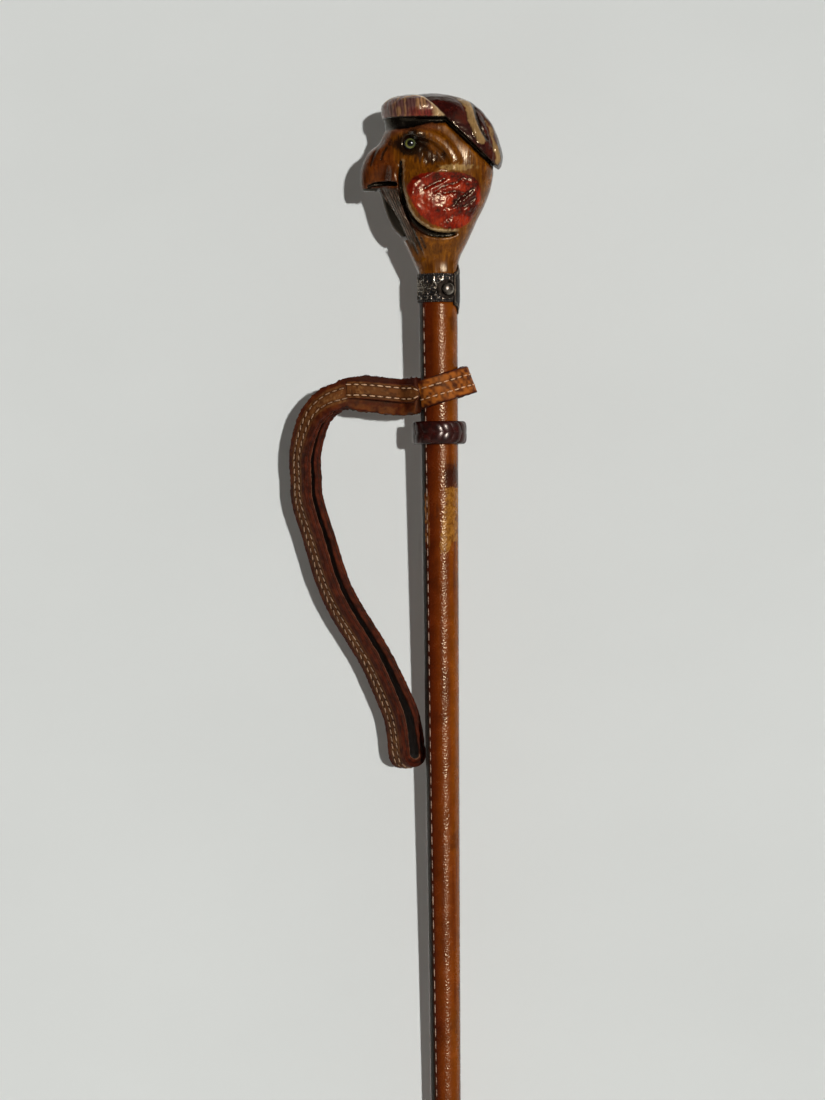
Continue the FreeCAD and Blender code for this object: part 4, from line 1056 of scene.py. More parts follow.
def stitchTree():  # stitches laid end to end along every path of the mesh
    tree, given, path = newTree("stitchRow", ("Pitch", "Length", "Thread"))
    places = addNode(tree, "GeometryNodeCurveToPoints", {0: path, "Length": given.outputs["Pitch"]},
                     mode="LENGTH")
    stitch = addNode(tree, "GeometryNodeMeshUVSphere", {"Segments": 8, "Rings": 8, "Radius": 0.5})
    size = addNode(tree, "ShaderNodeCombineXYZ", {0: given.outputs["Thread"], 1: given.outputs["Thread"],
                                                  2: given.outputs["Length"]})
    uneven = addNode(tree, "FunctionNodeRandomValue", {2: 0.88, 3: 1.08, "Seed": 5})
    scale = addNode(tree, "ShaderNodeVectorMath", {0: size, 1: uneven.outputs[1]}, operation="MULTIPLY")
    laid = addNode(tree, "GeometryNodeInstanceOnPoints",
                   {"Points": places, "Instance": stitch,
                    "Rotation": places.outputs["Rotation"], "Scale": scale})
    real = addNode(tree, "GeometryNodeRealizeInstances", {0: laid})
    smooth = addNode(tree, "GeometryNodeSetShadeSmooth", {0: real})
    addNode(tree, "NodeGroupOutput", {0: smooth})
    return tree


def plainMesh(name, carrier, tree, values, material):
    # run the nodes on a carrier and keep the result as a mesh
    nodes = carrier.modifiers.new("nodes", "NODES")
    nodes.node_group = tree
    for socket in tree.interface.items_tree:
        if socket.in_out == "INPUT" and socket.name in values:
            nodes[socket.identifier] = values[socket.name] * mm
    bpy.context.view_layer.update()
    baked = bpy.data.meshes.new_from_object(carrier.evaluated_get(bpy.context.evaluated_depsgraph_get()))
    bpy.data.objects.remove(carrier)
    baked.materials.clear()
    baked.materials.append(material)
    piece = bpy.data.objects.new(name, baked)
    bpy.context.scene.collection.objects.link(piece)
    return piece


def pathCarrier(paths, closed=False):  # edges along each path, for the nodes to follow
    points, edges = [], []
    for path in paths:
        first = len(points)
        points += [tuple(float(c) * mm for c in point) for point in path]
        edges += [(first + i, first + i + 1) for i in range(len(path) - 1)]
        edges += [(len(points) - 1, first)] if closed else []
    mesh = bpy.data.meshes.new("paths")
    mesh.from_pydata(points, edges, [])
    carrier = bpy.data.objects.new("paths", mesh)
    bpy.context.scene.collection.objects.link(carrier)
    return carrier


stitching = stitchTree()


def stitchPiece(name, paths, sizes, material, body):
    values = dict(zip(("Pitch", "Length", "Thread"), sizes))
    piece = plainMesh(name, pathCarrier(paths), stitching, values, material)
    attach(piece, body)
    return piece


def sleevePoint(z, angle, lift=0.0):
    return aroundShaft(sleeveRadius(z) + lift, angle, z)


def sleeveColors(points):
    x, y, z = points.T
    fromSeam = (np.arctan2(x, -y) - seamAngle(z)) % (2 * math.pi)
    long = latticeNoise(points * (1, 1, 0.06), 1.6, 41)
    broad = latticeNoise(points * (1, 1, 0.5), 7.0, 42)
    fine = latticeNoise(points, 1.3, 43)
    colors = plainColors("#6f3002", points)
    # painted shade and light: darker red-brown towards the left side, lighter amber towards the right, where
    # the light falls
    paintOver(colors, "#4d1402", 0.85 * smoothStep(-x + 1.5 * broad, -3.0, 5.0))
    paintOver(colors, "#7d4203", 0.55 * smoothStep(x + 1.5 * broad + 1.2 * long, 2.5, 7.5))
    paintOver(colors, "#481603", 0.45 * smoothStep(-long - 0.5 * broad, 0.15, 0.8))
    paintOver(colors, "#320d03", 0.5 * smoothStep(broad + 0.3 * fine, 0.45, 0.95))
    front = smoothStep(-y, -3.0, 1.0)
    dark = smoothStep(z + 2.0 * fine, 703.0, 711.5) * fallOff(z + 1.5 * fine, 716.0, 721.0)
    paintOver(colors, "#35130a", 0.93 * dark * smoothStep(x, 1.3, 3.0) * front)
    rubbed = smoothStep(z + 3 * fine, 676.0, 683.0) * fallOff(z + 2 * fine, 704.0, 708.0)
    rubbed = rubbed * fallOff(fromSeam + 0.05 * fine, 0.22, 0.34)
    paintOver(colors, "#a8713c", 0.75 * rubbed * smoothStep(fine + long, -0.6, 0.3))
    scuff = smoothStep(z, 690.0, 697.0) * fallOff(z, 699.0, 704.0) * smoothStep(fine + 0.6 * long, 0.05, 0.5)
    paintOver(colors, "#3a150a", 0.55 * scuff * fallOff(np.abs(x + 2.5), 1.2, 3.2) * front)
    # painted shade along the lap: a dark line at the lap's step, a black band over the shaft's left side up to
    # the seam, and black between the cut edge and the stitches
    fromLap = np.minimum(fromSeam, 2 * math.pi - fromSeam) * sleeveRadius(z)
    paintOver(colors, "#140706", 0.95 * fallOff(fromLap, 0.25, 0.6) * smoothStep(fromSeam, 1.0, 2.0))
    paintOver(colors, "#080302", 0.97 * smoothStep(fromSeam + 0.06 * fine, 5.66, 5.92))
    paintOver(colors, "#0b0402", 0.9 * fallOff(fromSeam * sleeveRadius(z), 0.75, 1.25) * (1 - rubbed))
    channel = np.abs(fromSeam * sleeveRadius(z) - sleeve["stitchFromEdge"])
    paintOver(colors, "#32120a", 0.6 * fallOff(channel, 0.3, 0.9))
    return colors


def rubbedPatch(points):  # how far inside the patch that is rubbed through, on the viewer's side
    x, y, z = points.T
    left = x - straightCurve(sleeve["patchLeft"], z)
    inside = np.minimum(np.minimum(left, sleeve["patchTop"] - z), z - straightCurve(sleeve["patchLow"], x))
    reach = sleeve["patchReach"]
    return np.clip(np.where(y < 0, inside, -reach), -reach, reach)


def buildSleeve():
    low, high = sleeve["radii"][0][0], sleeve["radii"][-1][0]
    heights = np.linspace(low, high, sleeve["rows"])
    turns = np.radians(np.concatenate([[0.0, 0.0, 2.0, 5.0], np.linspace(9, 351, 92), [356.0]]))
    lifts = sleeve["lap"] * np.exp(-turns / sleeve["lapFade"])
    lifts[0] = sleeve["lapTuck"]  # the cut edge goes down to the leather under it
    z, turn = np.meshgrid(heights, turns, indexing="ij")
    angle = turn + seamAngle(z)
    lift = np.tile(lifts, (len(heights), 1))
    pulled = sleeve["pull"] * np.cos(2 * math.pi * z / sleeve["stitchPitch"])
    pulled = pulled * bell(turn, 1 / 8) * (lift > 0.1)
    keep = np.ones((len(heights) - 1, len(turns)), bool)
    piece, _ = closedShell("leatherSleeve", sleevePoint(z, angle, lift + pulled),
                           sleevePoint(z, angle, sleeve["inside"]), keep, waxedCalf())
    paintPiece(piece, sleeveColors(pointsOf(piece)))
    markPiece(piece, "rubbed", rubbedPatch(pointsOf(piece)))
    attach(piece, "cane")
    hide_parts("leather_cover")
    z = np.arange(low + 5, high - 2.5, 2.0)
    angle = seamAngle(z) + sleeve["stitchFromEdge"] / sleeveRadius(z)
    path = sleevePoint(z, angle, sleeve["lap"] * 0.75 + 0.08)
    sizes = (sleeve["stitchPitch"], sleeve["stitchLength"], sleeve["stitchThread"])
    thread = threadMaterial("waxedLinen", "#b08c74", "#5c4236")
    stitches = stitchPiece("seamStitches", [path], sizes, thread, "cane")


buildSleeve()
print("leather sleeve done")


# Stop ring: three flat thongs plaited tight round a leather core, polished almost black
plait = {
    "low": 728.1, "high": 739.1, "middle": 10.45, "thick": 0.75, "wave": 0.5, "swing": 2.5, "strands": 3,
    "turns": 2, "waves": 5, "strandWidth": 2.75, "strandThick": 0.85, "points": 260,
    "coreSteps": 28, "coreTurns": 120, "coreMiddle": 10.3, "coreHalf": 1.55, "coreInset": 0.25,
}


def plaitTree():  # each strand: a flat profile swept along the carrier's path
    tree, given, path = newTree("plaitedRing", ("Half Width", "Half Thickness"))
    upright = addNode(tree, "GeometryNodeSetCurveNormal", {0: path}, mode="Z_UP")
    profile = addNode(tree, "GeometryNodeCurvePrimitiveCircle", {"Resolution": 16, "Radius": 1.0})
    size = addNode(tree, "ShaderNodeCombineXYZ",
                   {0: given.outputs["Half Width"], 1: given.outputs["Half Thickness"], 2: 1.0})
    flat = addNode(tree, "GeometryNodeTransform", {0: profile, "Scale": size})
    strand = addNode(tree, "GeometryNodeCurveToMesh", {0: upright, 1: flat})
    smooth = addNode(tree, "GeometryNodeSetShadeSmooth", {0: strand})
    addNode(tree, "NodeGroupOutput", {0: smooth})
    return tree


def lacedLeather():
    # oxblood harness leather, waxed and handled to a deep gloss, a little redder where light rakes it
    material, tree, shader, place = newMaterial("polishedLace")
    clouds = addNode(tree, "ShaderNodeTexNoise", {0: place, "Scale": 300.0, "Detail": 6.0})
    addNode(tree, "ShaderNodeValToRGB", {0: clouds}, stops=[(0.35, "#160303"), (0.68, "#360c08")],
            feeds=shader.inputs["Base Color"])
    shader.inputs["Roughness"].default_value = 0.27
    shader.inputs["Specular IOR Level"].default_value = 0.5
    shader.inputs["Specular Tint"].default_value = (1.0, 0.85, 0.75, 1.0)
    addNode(tree, "ShaderNodeBump", {"Height": clouds, "Distance": 0.00012, "Strength": 0.6},
            feeds=shader.inputs["Normal"])
    return material


def blunted(value, power):  # the same sign, squarer than the plain wave
    return np.abs(value) ** power * np.sign(value)


def buildRing():
    material = lacedLeather()
    middle, tall = (plait["low"] + plait["high"]) / 2, (plait["high"] - plait["low"]) / 2
    corner = 2 * math.pi * np.arange(plait["coreSteps"]) / plait["coreSteps"]
    reach = plait["coreMiddle"] + plait["coreHalf"] * blunted(np.cos(corner), 0.7)
    height = middle + (tall - plait["coreInset"]) * blunted(np.sin(corner), 0.6)
    turns = np.linspace(0, 2 * math.pi, plait["coreTurns"], endpoint=False)
    # the core under the strands, rounded and rolled over at both rims
    core = sweptBand("ringCore", [aroundShaft(reach, turn, height) for turn in turns], material, closed=True)
    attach(core, "cane")
    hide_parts("stop_ring")
    steps = np.arange(plait["points"] * plait["turns"]) / plait["points"]
    paths = []
    for k in range(plait["strands"]):
        phase = 2 * math.pi * (plait["waves"] * steps / plait["turns"] + k / plait["strands"])
        reach = plait["middle"] + plait["thick"] + plait["wave"] * np.sin(2 * phase)
        paths.append(aroundShaft(reach, 2 * math.pi * steps, middle + plait["swing"] * np.cos(phase)))
    sizes = {"Half Width": plait["strandThick"], "Half Thickness": plait["strandWidth"]}
    piece = plainMesh("ringPlait", pathCarrier(paths, closed=True), plaitTree(), sizes, material)
    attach(piece, "cane")


buildRing()
print("stop ring done")


# Wrist strap: slip loop, stitched tab, two legs and the bend, of two plies of bridle leather
strap = {
    "loopHeight": 751.5, "bore": 9.2, "loopThick": 3.0, "slack": 7.0, "endBore": 5.5, "bandWidth": 12.4,
    "slope": 0.325, "gap": 0.5,
    "reach": 62.0, "drop": 165.6, "depth": 7.5, "turn": 54.0, "bendGap": 5.2,
    "thick": 3.9, "width": 12.3, "tabWidth": 16.6, "tabDrop": 0.45, "ply": 0.32,
    "pitch": 3.5, "stitch": 2.7, "thread": 0.6, "rows": 2.45, "legRows": 1.75, "slant": 0.21, "loopRows": 2.4,
    "tongueWidth": 8.4, "tongueThick": 1.5, "tongueEnd": 1.2,
    "tabStart": -17.4, "tabSteps": 20, "lipSteps": 8, "plyGap": 0.05, "waySteps": 190, "bendSteps": 24,
    "sag": [(-48, 0), (-40, 0.9), (-32, 0.7), (-24, -0.4), (-17, -0.9), (-11, -0.3)], "legRowsFrom": 45,
    "stitchSway": 1.035, "stitchLift": 0.1, "loopDrop": 1.0, "loopUp": (-0.36, 0, 0.97),
}
strap["tabHeight"] = strap["loopHeight"] - strap["tabDrop"]
strap["tabLow"] = 742.0  # above this a place is on the tab
upward = np.array([0, 0, 1.0])
# Way of the legs: reach, drop, depth, turn and gap as shares of the five sizes above
strapWay = [
    (0.682, 0.000, 0.07, 0.09, 0.06), (0.802, 0.016, 0.20, 0.33, 0.12), (0.906, 0.051, 0.40, 0.59, 0.20),
    (0.962, 0.100, 0.56, 0.78, 0.28), (1.000, 0.168, 0.70, 0.93, 0.34), (0.995, 0.230, 0.80, 1.00, 0.38),
    (0.984, 0.295, 0.90, 1.00, 0.42), (0.897, 0.405, 1.00, 1.00, 0.46), (0.810, 0.515, 1.00, 1.00, 0.50),
    (0.716, 0.593, 1.00, 1.00, 0.52), (0.589, 0.671, 1.00, 1.00, 0.55), (0.482, 0.740, 1.00, 1.00, 0.60),
    (0.377, 0.826, 1.00, 1.00, 0.70), (0.297, 0.904, 1.00, 1.00, 0.86), (0.261, 1.000, 1.00, 1.00, 1.00),
]


def bandSection(width, thick, ply, corner=0.55):
    # outline of a two-ply band across its width and thickness, with the line between the plies on both edges
    half, deep = width / 2, thick / 2
    quarter = [(math.cos(a) * corner, math.sin(a) * corner) for a in np.radians([0, 22, 45, 68, 90])]
    right = [(half, -0.45), (half - 0.12, -0.2), (half - ply, 0.0), (half - 0.12, 0.2), (half, 0.45)]
    right += [(half - corner + c, deep - corner + s) for c, s in quarter]
    top = [(x, deep) for x in np.linspace(half - corner, corner - half, 20)[1:-1]]
    left = [(-x, y) for x, y in right[::-1]]
    bottom = [(x, -deep) for x in np.linspace(corner - half, half - corner, 20)[1:-1]]
    lowLeft = [(-half + corner - s, -deep + corner - c) for c, s in quarter[::-1]]
    lowRight = [(half - corner + s, -deep + corner - c) for c, s in quarter]
    return np.array(right + top + left + lowLeft + bottom + lowRight)


def strapMaterial():
    # bridle leather, rough-cut: waxed face, hairy cut edges, colour lost where the hand rubs
    return leatherMaterial("bridleLeather", 0.6, 0.15)


def bandColors(points, u, v, width, thick, rows, buffShare):
    # u across the width, v through the thickness, both in millimetres from the middle
    fine = latticeNoise(points, 0.8, 51)
    rough = latticeNoise(points, 1.7, 52)
    broad = latticeNoise(points, 6.0, 53)
    onEdge = smoothStep(np.abs(u), width / 2 - 0.75, width / 2 - 0.25)
    colors = plainColors("#451605", points)
    paintOver(colors, "#642e0e", 0.7 * smoothStep(rough + 0.5 * broad, -0.1, 0.6))
    paintOver(colors, "#2b0d05", 0.6 * smoothStep(-rough - 0.6 * fine, 0.2, 0.8))
    face = smoothStep(v, thick / 2 - 0.5, thick / 2 - 0.2)
    buff = face * fallOff(np.abs(u) + 0.3 * fine, rows + 1.4, rows + 1.9) * buffShare
    paintOver(colors, "#653a19", 0.85 * buff)
    paintOver(colors, "#3c1d0c", 0.75 * buff * smoothStep(rough + 0.6 * fine, 0.0, 0.6))
    paintOver(colors, "#8c5f36", 0.6 * buff * smoothStep(fine + 0.3 * broad - 0.3 * rough, 0.15, 0.7))
    channel = np.abs(np.abs(u) - rows)
    paintOver(colors, "#220b05", 0.65 * face * fallOff(channel, 0.35, 0.9))
    paintOver(colors, "#3a1007", 0.85 * onEdge)
    paintOver(colors, "#57200f", 0.6 * onEdge * smoothStep(rough + fine, 0.1, 0.8))
    paintOver(colors, "#1b0604", 0.6 * onEdge * smoothStep(-rough - fine, 0.1, 0.8))
    # painted highlight: a thin pale line along the cut edge near the back face
    line = onEdge * fallOff(np.abs(v + thick / 2 - 0.2), 0.08, 0.24) * smoothStep(buffShare, 0.3, 0.6)
    paintOver(colors, "#8a6046", 0.75 * line)
    paintOver(colors, "#120605", 0.6 * onEdge * fallOff(np.abs(v), 0.12, 0.34))
    # painted shade: the back face, turned to the other leg, the tab, the loop or the shaft, is near black
    back = smoothStep(-v, thick / 2 - 0.4, thick / 2 - 0.1) * (1 - onEdge)
    paintOver(colors, "#0b0403", 0.95 * back)
    return colors


def strapFrames():  # centre, outward face, width direction and gap, every millimetre or so
    at = np.linspace(0, len(strapWay) - 1, strap["waySteps"])
    reach, drop, depth, turn, gap = pathCurve(strapWay, at)
    height = strap["loopHeight"] - drop * strap["drop"]
    centre = np.stack([-reach * strap["reach"], depth * strap["depth"], height], 1)
    along = np.gradient(centre, axis=0)
    flat = along[:, [0, 2]] / np.linalg.norm(along[:, [0, 2]], axis=1)[:, None]
    outward = np.stack([flat[:, 1], 0 * flat[:, 0], -flat[:, 0]], 1)
    angle = np.radians(turn * strap["turn"])[:, None]
    face = np.array([0, -1, 0]) * np.cos(angle) + outward * np.sin(angle)
    width = outward * np.cos(angle) + np.array([0, 1, 0]) * np.sin(angle)
    return centre, face, width, gap * strap["bendGap"]


def lipFrames(side):  # the tab's ply bends round the slip loop, thinner towards its end
    frames = []
    inner = strap["bore"] + strap["loopThick"] + strap["gap"] - 0.1
    for k in range(strap["lipSteps"]):
        share = 1 - k / strap["lipSteps"]  # 1 at the lip's end
        turn = math.radians(180 - side * (16 + 28 * share))
        out = np.array([math.cos(turn), math.sin(turn), 0])
        middle = out * (inner + strap["thick"] * (1 - 0.55 * share) / 2) + upward * strap["tabHeight"]
        frames.append((middle, out, upward, strap["tabWidth"] - 0.8 * share))
    return frames


def tabFrames(side):  # one ply of the tab, from its lip round the loop to where the legs begin
    frames = lipFrames(side)
    start, end = strap["tabStart"], -strapWay[0][0] * strap["reach"]
    for k in range(strap["tabSteps"]):
        x = start + (end - start) * k / strap["tabSteps"]
        middle = np.array([x, side * (strap["thick"] / 2 + strap["plyGap"]), strap["tabHeight"]])
        frames.append((middle, np.array([0, side, 0.0]), upward, strap["tabWidth"]))
    return frames


def bandFrames():  # the whole band: front ply, outer leg, bend, inner leg, back ply
    centre, face, width, gap = strapFrames()
    half = (gap + strap["thick"]) / 2
    legs = [[(centre[k] + side * face[k] * half[k], side * face[k], width[k], strap["width"])
             for k in range(len(centre))] for side in (1, -1)]
    forward = centre[-1] - centre[-2]
    forward = forward - face[-1] * forward.dot(face[-1]) - width[-1] * forward.dot(width[-1])
    forward = forward / np.linalg.norm(forward)
    bend = []
    for k in range(1, strap["bendSteps"]):
        turn = math.pi * k / strap["bendSteps"]
        out = face[-1] * math.cos(turn) + forward * math.sin(turn)
        bend.append((centre[-1] + out * half[-1], out, width[-1], strap["width"]))
    return tabFrames(-1) + legs[0] + bend + legs[1][::-1] + tabFrames(1)[::-1]


def easeJoins(values, joins):  # smooth each column where tab and legs meet
    kernel = np.hanning(11)[1:-1] / np.hanning(11).sum()
    for axis in range(3):
        padded = np.pad(values[:, axis], 4, mode="reflect", reflect_type="odd")
        eased = np.convolve(padded, kernel, "valid")
        for start in joins:
            values[start - 9:start + 9, axis] = eased[start - 9:start + 9]


def legRows(place, tab):  # how far a row of stitches is from the middle: closer together down the legs
    legs = smoothStep(place, tab, tab + strap["legRowsFrom"])
    return legs, strap["rows"] + (strap["legRows"] - strap["rows"]) * legs


def buildStrap(material):
    frames = bandFrames()
    tab = strap["lipSteps"] + strap["tabSteps"]
    wide = np.convolve(np.pad([frame[3] for frame in frames], 11, mode="edge"),
                       np.hanning(23) / np.hanning(23).sum(), "valid")
    middles, faces, widths = [np.array([frame[i] for frame in frames]) for i in range(3)]
    for values in (middles, faces, widths):
        easeJoins(values, (9, tab, len(frames) - tab, len(frames) - 9))
    # the tab sags a little towards the shaft
    middles[:, 2] += (middles[:, 2] > strap["tabLow"]) * straightCurve(strap["sag"], middles[:, 0])
    rings, us, vs = [], [], []
    for middle, face, width, size in zip(middles, faces, widths, wide):
        section = bandSection(size, strap["thick"], strap["ply"])
        rings.append(middle + np.outer(section[:, 0], width) + np.outer(section[:, 1], face))
        us.append(section[:, 0])
        vs.append(section[:, 1])
    us, vs = np.concatenate(us), np.concatenate(vs)
    points = np.concatenate(rings)
    around = len(rings[0])
    spans = np.repeat(wide, around)
    fray = latticeNoise(points, 0.75, 54) + 0.6 * latticeNoise(points, 2.1, 55)
    edge = smoothStep(np.abs(us), spans / 2 - 0.9, spans / 2 - 0.3)
    sideways = np.repeat(widths, around, 0) * np.sign(us)[:, None]
    ragged = 0.36 + 0.25 * (points[:, 2] > strap["tabLow"])
    points = points + sideways * (ragged * fray * edge)[:, None]
    hills = 0.12 * latticeNoise(points, 1.4, 56) * (1 - edge)
    points = points + np.repeat(faces, around, 0) * hills[:, None]
    piece = sweptBand("handStrap", points.reshape(len(frames), around, 3), material)
    along = np.repeat(np.arange(len(frames)), around)
    outerLeg = smoothStep(along, tab - 2, tab + 4) * fallOff(along, len(frames) / 2 + 6, len(frames) / 2 + 12)
    _, rows = legRows(along, tab)
    colors = bandColors(points, us, vs, spans, strap["thick"], rows, np.maximum(outerLeg, 0.12))
    onTab = fallOff(along, tab - 6, tab + 8)
    paintOver(colors, "#320d07", 0.75 * onTab * smoothStep(us, 4.4, 5.2))
    paintOver(colors, "#6b3a15", 0.6 * onTab * smoothStep(-us, 4.4, 5.2) * smoothStep(fray, -0.4, 0.4))
    paintPiece(piece, colors)
    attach(piece, "strap")
    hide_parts("hand_strap")
    fine = np.arange(tab + 3, len(frames) - 2, 0.2)
    at = np.arange(len(frames))
    middle, face, width = [np.stack([np.interp(fine, at, values[:, axis]) for axis in range(3)], 1)
                           for values in (middles, faces, widths)]
    length = np.append(0, np.cumsum(np.linalg.norm(np.diff(middle, axis=0), axis=1)))
    legs, rows = legRows(fine, tab)
    # slanted stitches: the row sways once in every pitch
    sway = strap["slant"] * legs * np.sin(2 * math.pi * strap["stitchSway"] * length / strap["pitch"])
    lift = face * (strap["thick"] / 2 + strap["stitchLift"])
    return [middle + lift + width * (side * rows + sway)[:, None] for side in (-1, 1)]


def buildTongue(material):
    half, thick = strap["tongueWidth"] / 2, strap["tongueThick"]
    top = -strap["thick"] - 0.1  # the tab's front face
    route = [(-42.0, top + 1.6), (-39.0, top + 0.7), (-35.5, top - 0.05), (-30.0, top - 0.25),
             (-22.0, top - 0.3),
             (-18.0, top - 0.5), (-15.6, -5.9), (-13.8, -7.7), (-12.1, -9.2), (-10.5, -10.3), (-8.9, -11.0)]
    xs, ys = pathCurve(route, np.linspace(0, len(route) - 1, 70))
    rise = strap["loopHeight"] + np.interp(xs, [-42, -36, -28, -20, -14, -9], [2.2, 2.1, 1.4, 0.5, 0.0, 0.0])
    along = np.stack([np.gradient(xs), np.gradient(ys)], 1)
    along = along / np.linalg.norm(along, axis=1)[:, None]
    normals = np.stack([along[:, 1], -along[:, 0], 0 * xs], 1)
    normals = np.where(normals[:, 1:2] < 0, normals, -normals)
    length = np.append(0, np.cumsum(np.hypot(np.diff(xs), np.diff(ys))))
    left = length[-1] - length
    shares = np.sqrt(np.maximum(1 - (1 - np.minimum(left / half, 1)) ** 2, 0.03))  # the end is round
    route = np.stack([xs, ys, rise], 1)
    rings, us, vs = [], [], []
    for place, normal, share in zip(route, normals, shares):
        section = bandSection(2 * half * share, thick, 0.1, 0.4 * max(share, 0.3))
        middle = place + normal * thick / 2
        rings.append(middle + np.outer(section[:, 0], upward) + np.outer(section[:, 1], normal))
        us.append(section[:, 0] / share)
        vs.append(section[:, 1])
    piece = sweptBand("strapTongue", rings, material)
    us, vs = np.concatenate(us), np.concatenate(vs)
    paintPiece(piece, bandColors(pointsOf(piece), us, vs, 2 * half, thick, strap["rows"], 1.0))
    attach(piece, "strap")
    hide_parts("strap_tongue")
    sewn = slice(2, np.argmax(left < strap["tongueEnd"]))
    inset = strap["rows"] * np.minimum(1, shares + 0.02)[:, None]
    lift = normals * (thick + strap["stitchLift"])
    return [(route + lift + side * inset * upward)[sewn] for side in (-1, 1)]


def loopOutline():  # eccentric ring: round the shaft, straight to the folded end, round it, and straight back
    bore, end = strap["bore"] + strap["loopThick"] / 2, strap["endBore"] + strap["loopThick"] / 2
    slack = strap["slack"]
    edge = math.pi / 2 - math.asin((strap["bore"] - strap["endBore"]) / slack)
    outline = [(turn, bore, 0.0) for turn in np.linspace(edge, 2 * math.pi - edge, 90)]
    shares = np.linspace(0, 1, 12)[1:-1]
    outline += [(-edge, bore + share * (end - bore), share * slack) for share in shares]
    outline += [(turn, end, slack) for turn in np.linspace(-edge, edge, 44)]
    outline += [(edge, bore + share * (end - bore), share * slack) for share in shares[::-1]]
    return outline


def buildLoop(material, thread):
    width, thick = strap["bandWidth"], strap["loopThick"]
    section = bandSection(width, thick - 0.1, 0.25)
    upright = np.array(strap["loopUp"])
    rings, places, normals = [], [], []
    for turn, r, shift in loopOutline():
        normal = np.array([math.cos(turn), math.sin(turn), 0])
        x = shift + r * normal[0]
        z = strap["loopHeight"] - strap["loopDrop"] + strap["slope"] * (x + strap["bore"])
        places.append(np.array([x, r * normal[1], z]))
        normals.append(normal)
        rings.append(places[-1] + np.outer(section[:, 0], upright) + np.outer(section[:, 1], normal))
    points = np.concatenate(rings)
    us, vs = np.tile(section[:, 0], len(rings)), np.tile(section[:, 1], len(rings))
    edge = smoothStep(np.abs(us), width / 2 - 0.9, width / 2 - 0.3)
    points = points + upright * (np.sign(us) * 0.16 * edge * latticeNoise(points, 1.1, 61))[:, None]
    piece = sweptBand("slipLoop", points.reshape(len(rings), -1, 3), material, closed=True)
    colors = bandColors(points, us, vs, width, thick, strap["loopRows"], 0.25)
    outside = smoothStep(vs, 0.6, 1.2) * (1 - edge)
    paintOver(colors, "#a85d1f", 0.75 * outside * smoothStep(latticeNoise(points, 1.3, 62), -0.6, 0.5))
    paintPiece(piece, colors)
    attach(piece, "strap_loop")
    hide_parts("shaft_loop")
    face = np.array(places) + np.array(normals) * (thick / 2 + 0.12)
    face = np.append(face, face[:1], 0)
    paths = [face + upright * side * strap["loopRows"] for side in (-1, 1)]
    stitches = stitchPiece("loopStitches", paths, strapStitch, thread, "strap_loop")


strapStitch = (strap["pitch"], strap["stitch"], strap["thread"])
bridle = strapMaterial()
linen = threadMaterial("palestLinen", "#e0b48c", "#8f6544")
# the same thread, darker where it is handled
rubbedLinen = threadMaterial("rubbedLinen", "#a57f5e", "#5d3f2b")
for name, rows, thread in (("legStitches", buildStrap(bridle), rubbedLinen),
                           ("tabStitches", buildTongue(bridle), linen)):
    stitches = stitchPiece(name, rows, strapStitch, thread, "strap")
buildLoop(bridle, linen)
print("wrist strap done")


# Carried-over nodes: the push button in its bush, the mechanism, and the foot of the cane
def metalMaterial(name, light, dark, roughness, scale):
    # drawn or turned metal with handling marks: cloudy tarnish over fine turning lines
    material, tree, shader, place = newMaterial(name)
    clouds = addNode(tree, "ShaderNodeTexNoise", {0: place, "Scale": scale, "Detail": 6.0,
                                                  "Roughness": 0.6})
    addNode(tree, "ShaderNodeValToRGB", {0: clouds}, stops=[(0.35, dark), (0.62, light)],
            feeds=shader.inputs["Base Color"])
    shader.inputs["Metallic"].default_value = 1.0
    addNode(tree, "ShaderNodeMapRange", {0: clouds, 1: 0.3, 2: 0.7, 3: roughness + 0.15,
                                         4: roughness}, feeds=shader.inputs["Roughness"])
    lines = addNode(tree, "ShaderNodeTexWave", {0: place, "Scale": 900.0, "Distortion": 1.5},
                    bands_direction="Z")
    addNode(tree, "ShaderNodeBump", {"Height": lines.outputs[1], "Distance": 0.00002, "Strength": 0.4},
            feeds=shader.inputs["Normal"])
    return material


buttonSilver = metalMaterial("turnedSilver", "#a59b8e", "#3a2e27", 0.16, 500.0)
bushSilver = metalMaterial("oxidisedSilver", "#2b241e", "#0a0706", 0.45, 700.0)
brass = metalMaterial("drawnBrass", "#b8924e", "#6d4f24", 0.28, 160.0)
steel = metalMaterial("brightSteel", "#8f8c88", "#4c4946", 0.32, 220.0)
ashWood = carvedLacquer("ashShaft", "#6b4423", 0.6, 0.5)
for node, material in (("push_button", buttonSilver), ("button_bush", bushSilver), ("beak_lever", brass),
                       ("mechanism_tube", brass), ("spring_plug", brass), ("push_rod", steel),
                       ("beak_pin", steel), ("ferrule", brass), ("ferrule_nails", brass),
                       ("ferrule_tip", steel), ("shaft_core", ashWood)):
    mesh = frame["nodes"][node].data
    mesh.materials.clear()
    mesh.materials.append(material)

# Return spring: the CAD's own coil, copied as a piece fixed to the cane
coil = frame["nodes"]["return_spring"].data
spring = newMesh("pressedSpring", [tuple(corner.co / mm) for corner in coil.vertices],
                 [tuple(face.vertices) for face in coil.polygons], steel)
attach(spring, "cane")
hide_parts("return_spring")
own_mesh(spring)
print("metal and wood finishes done")


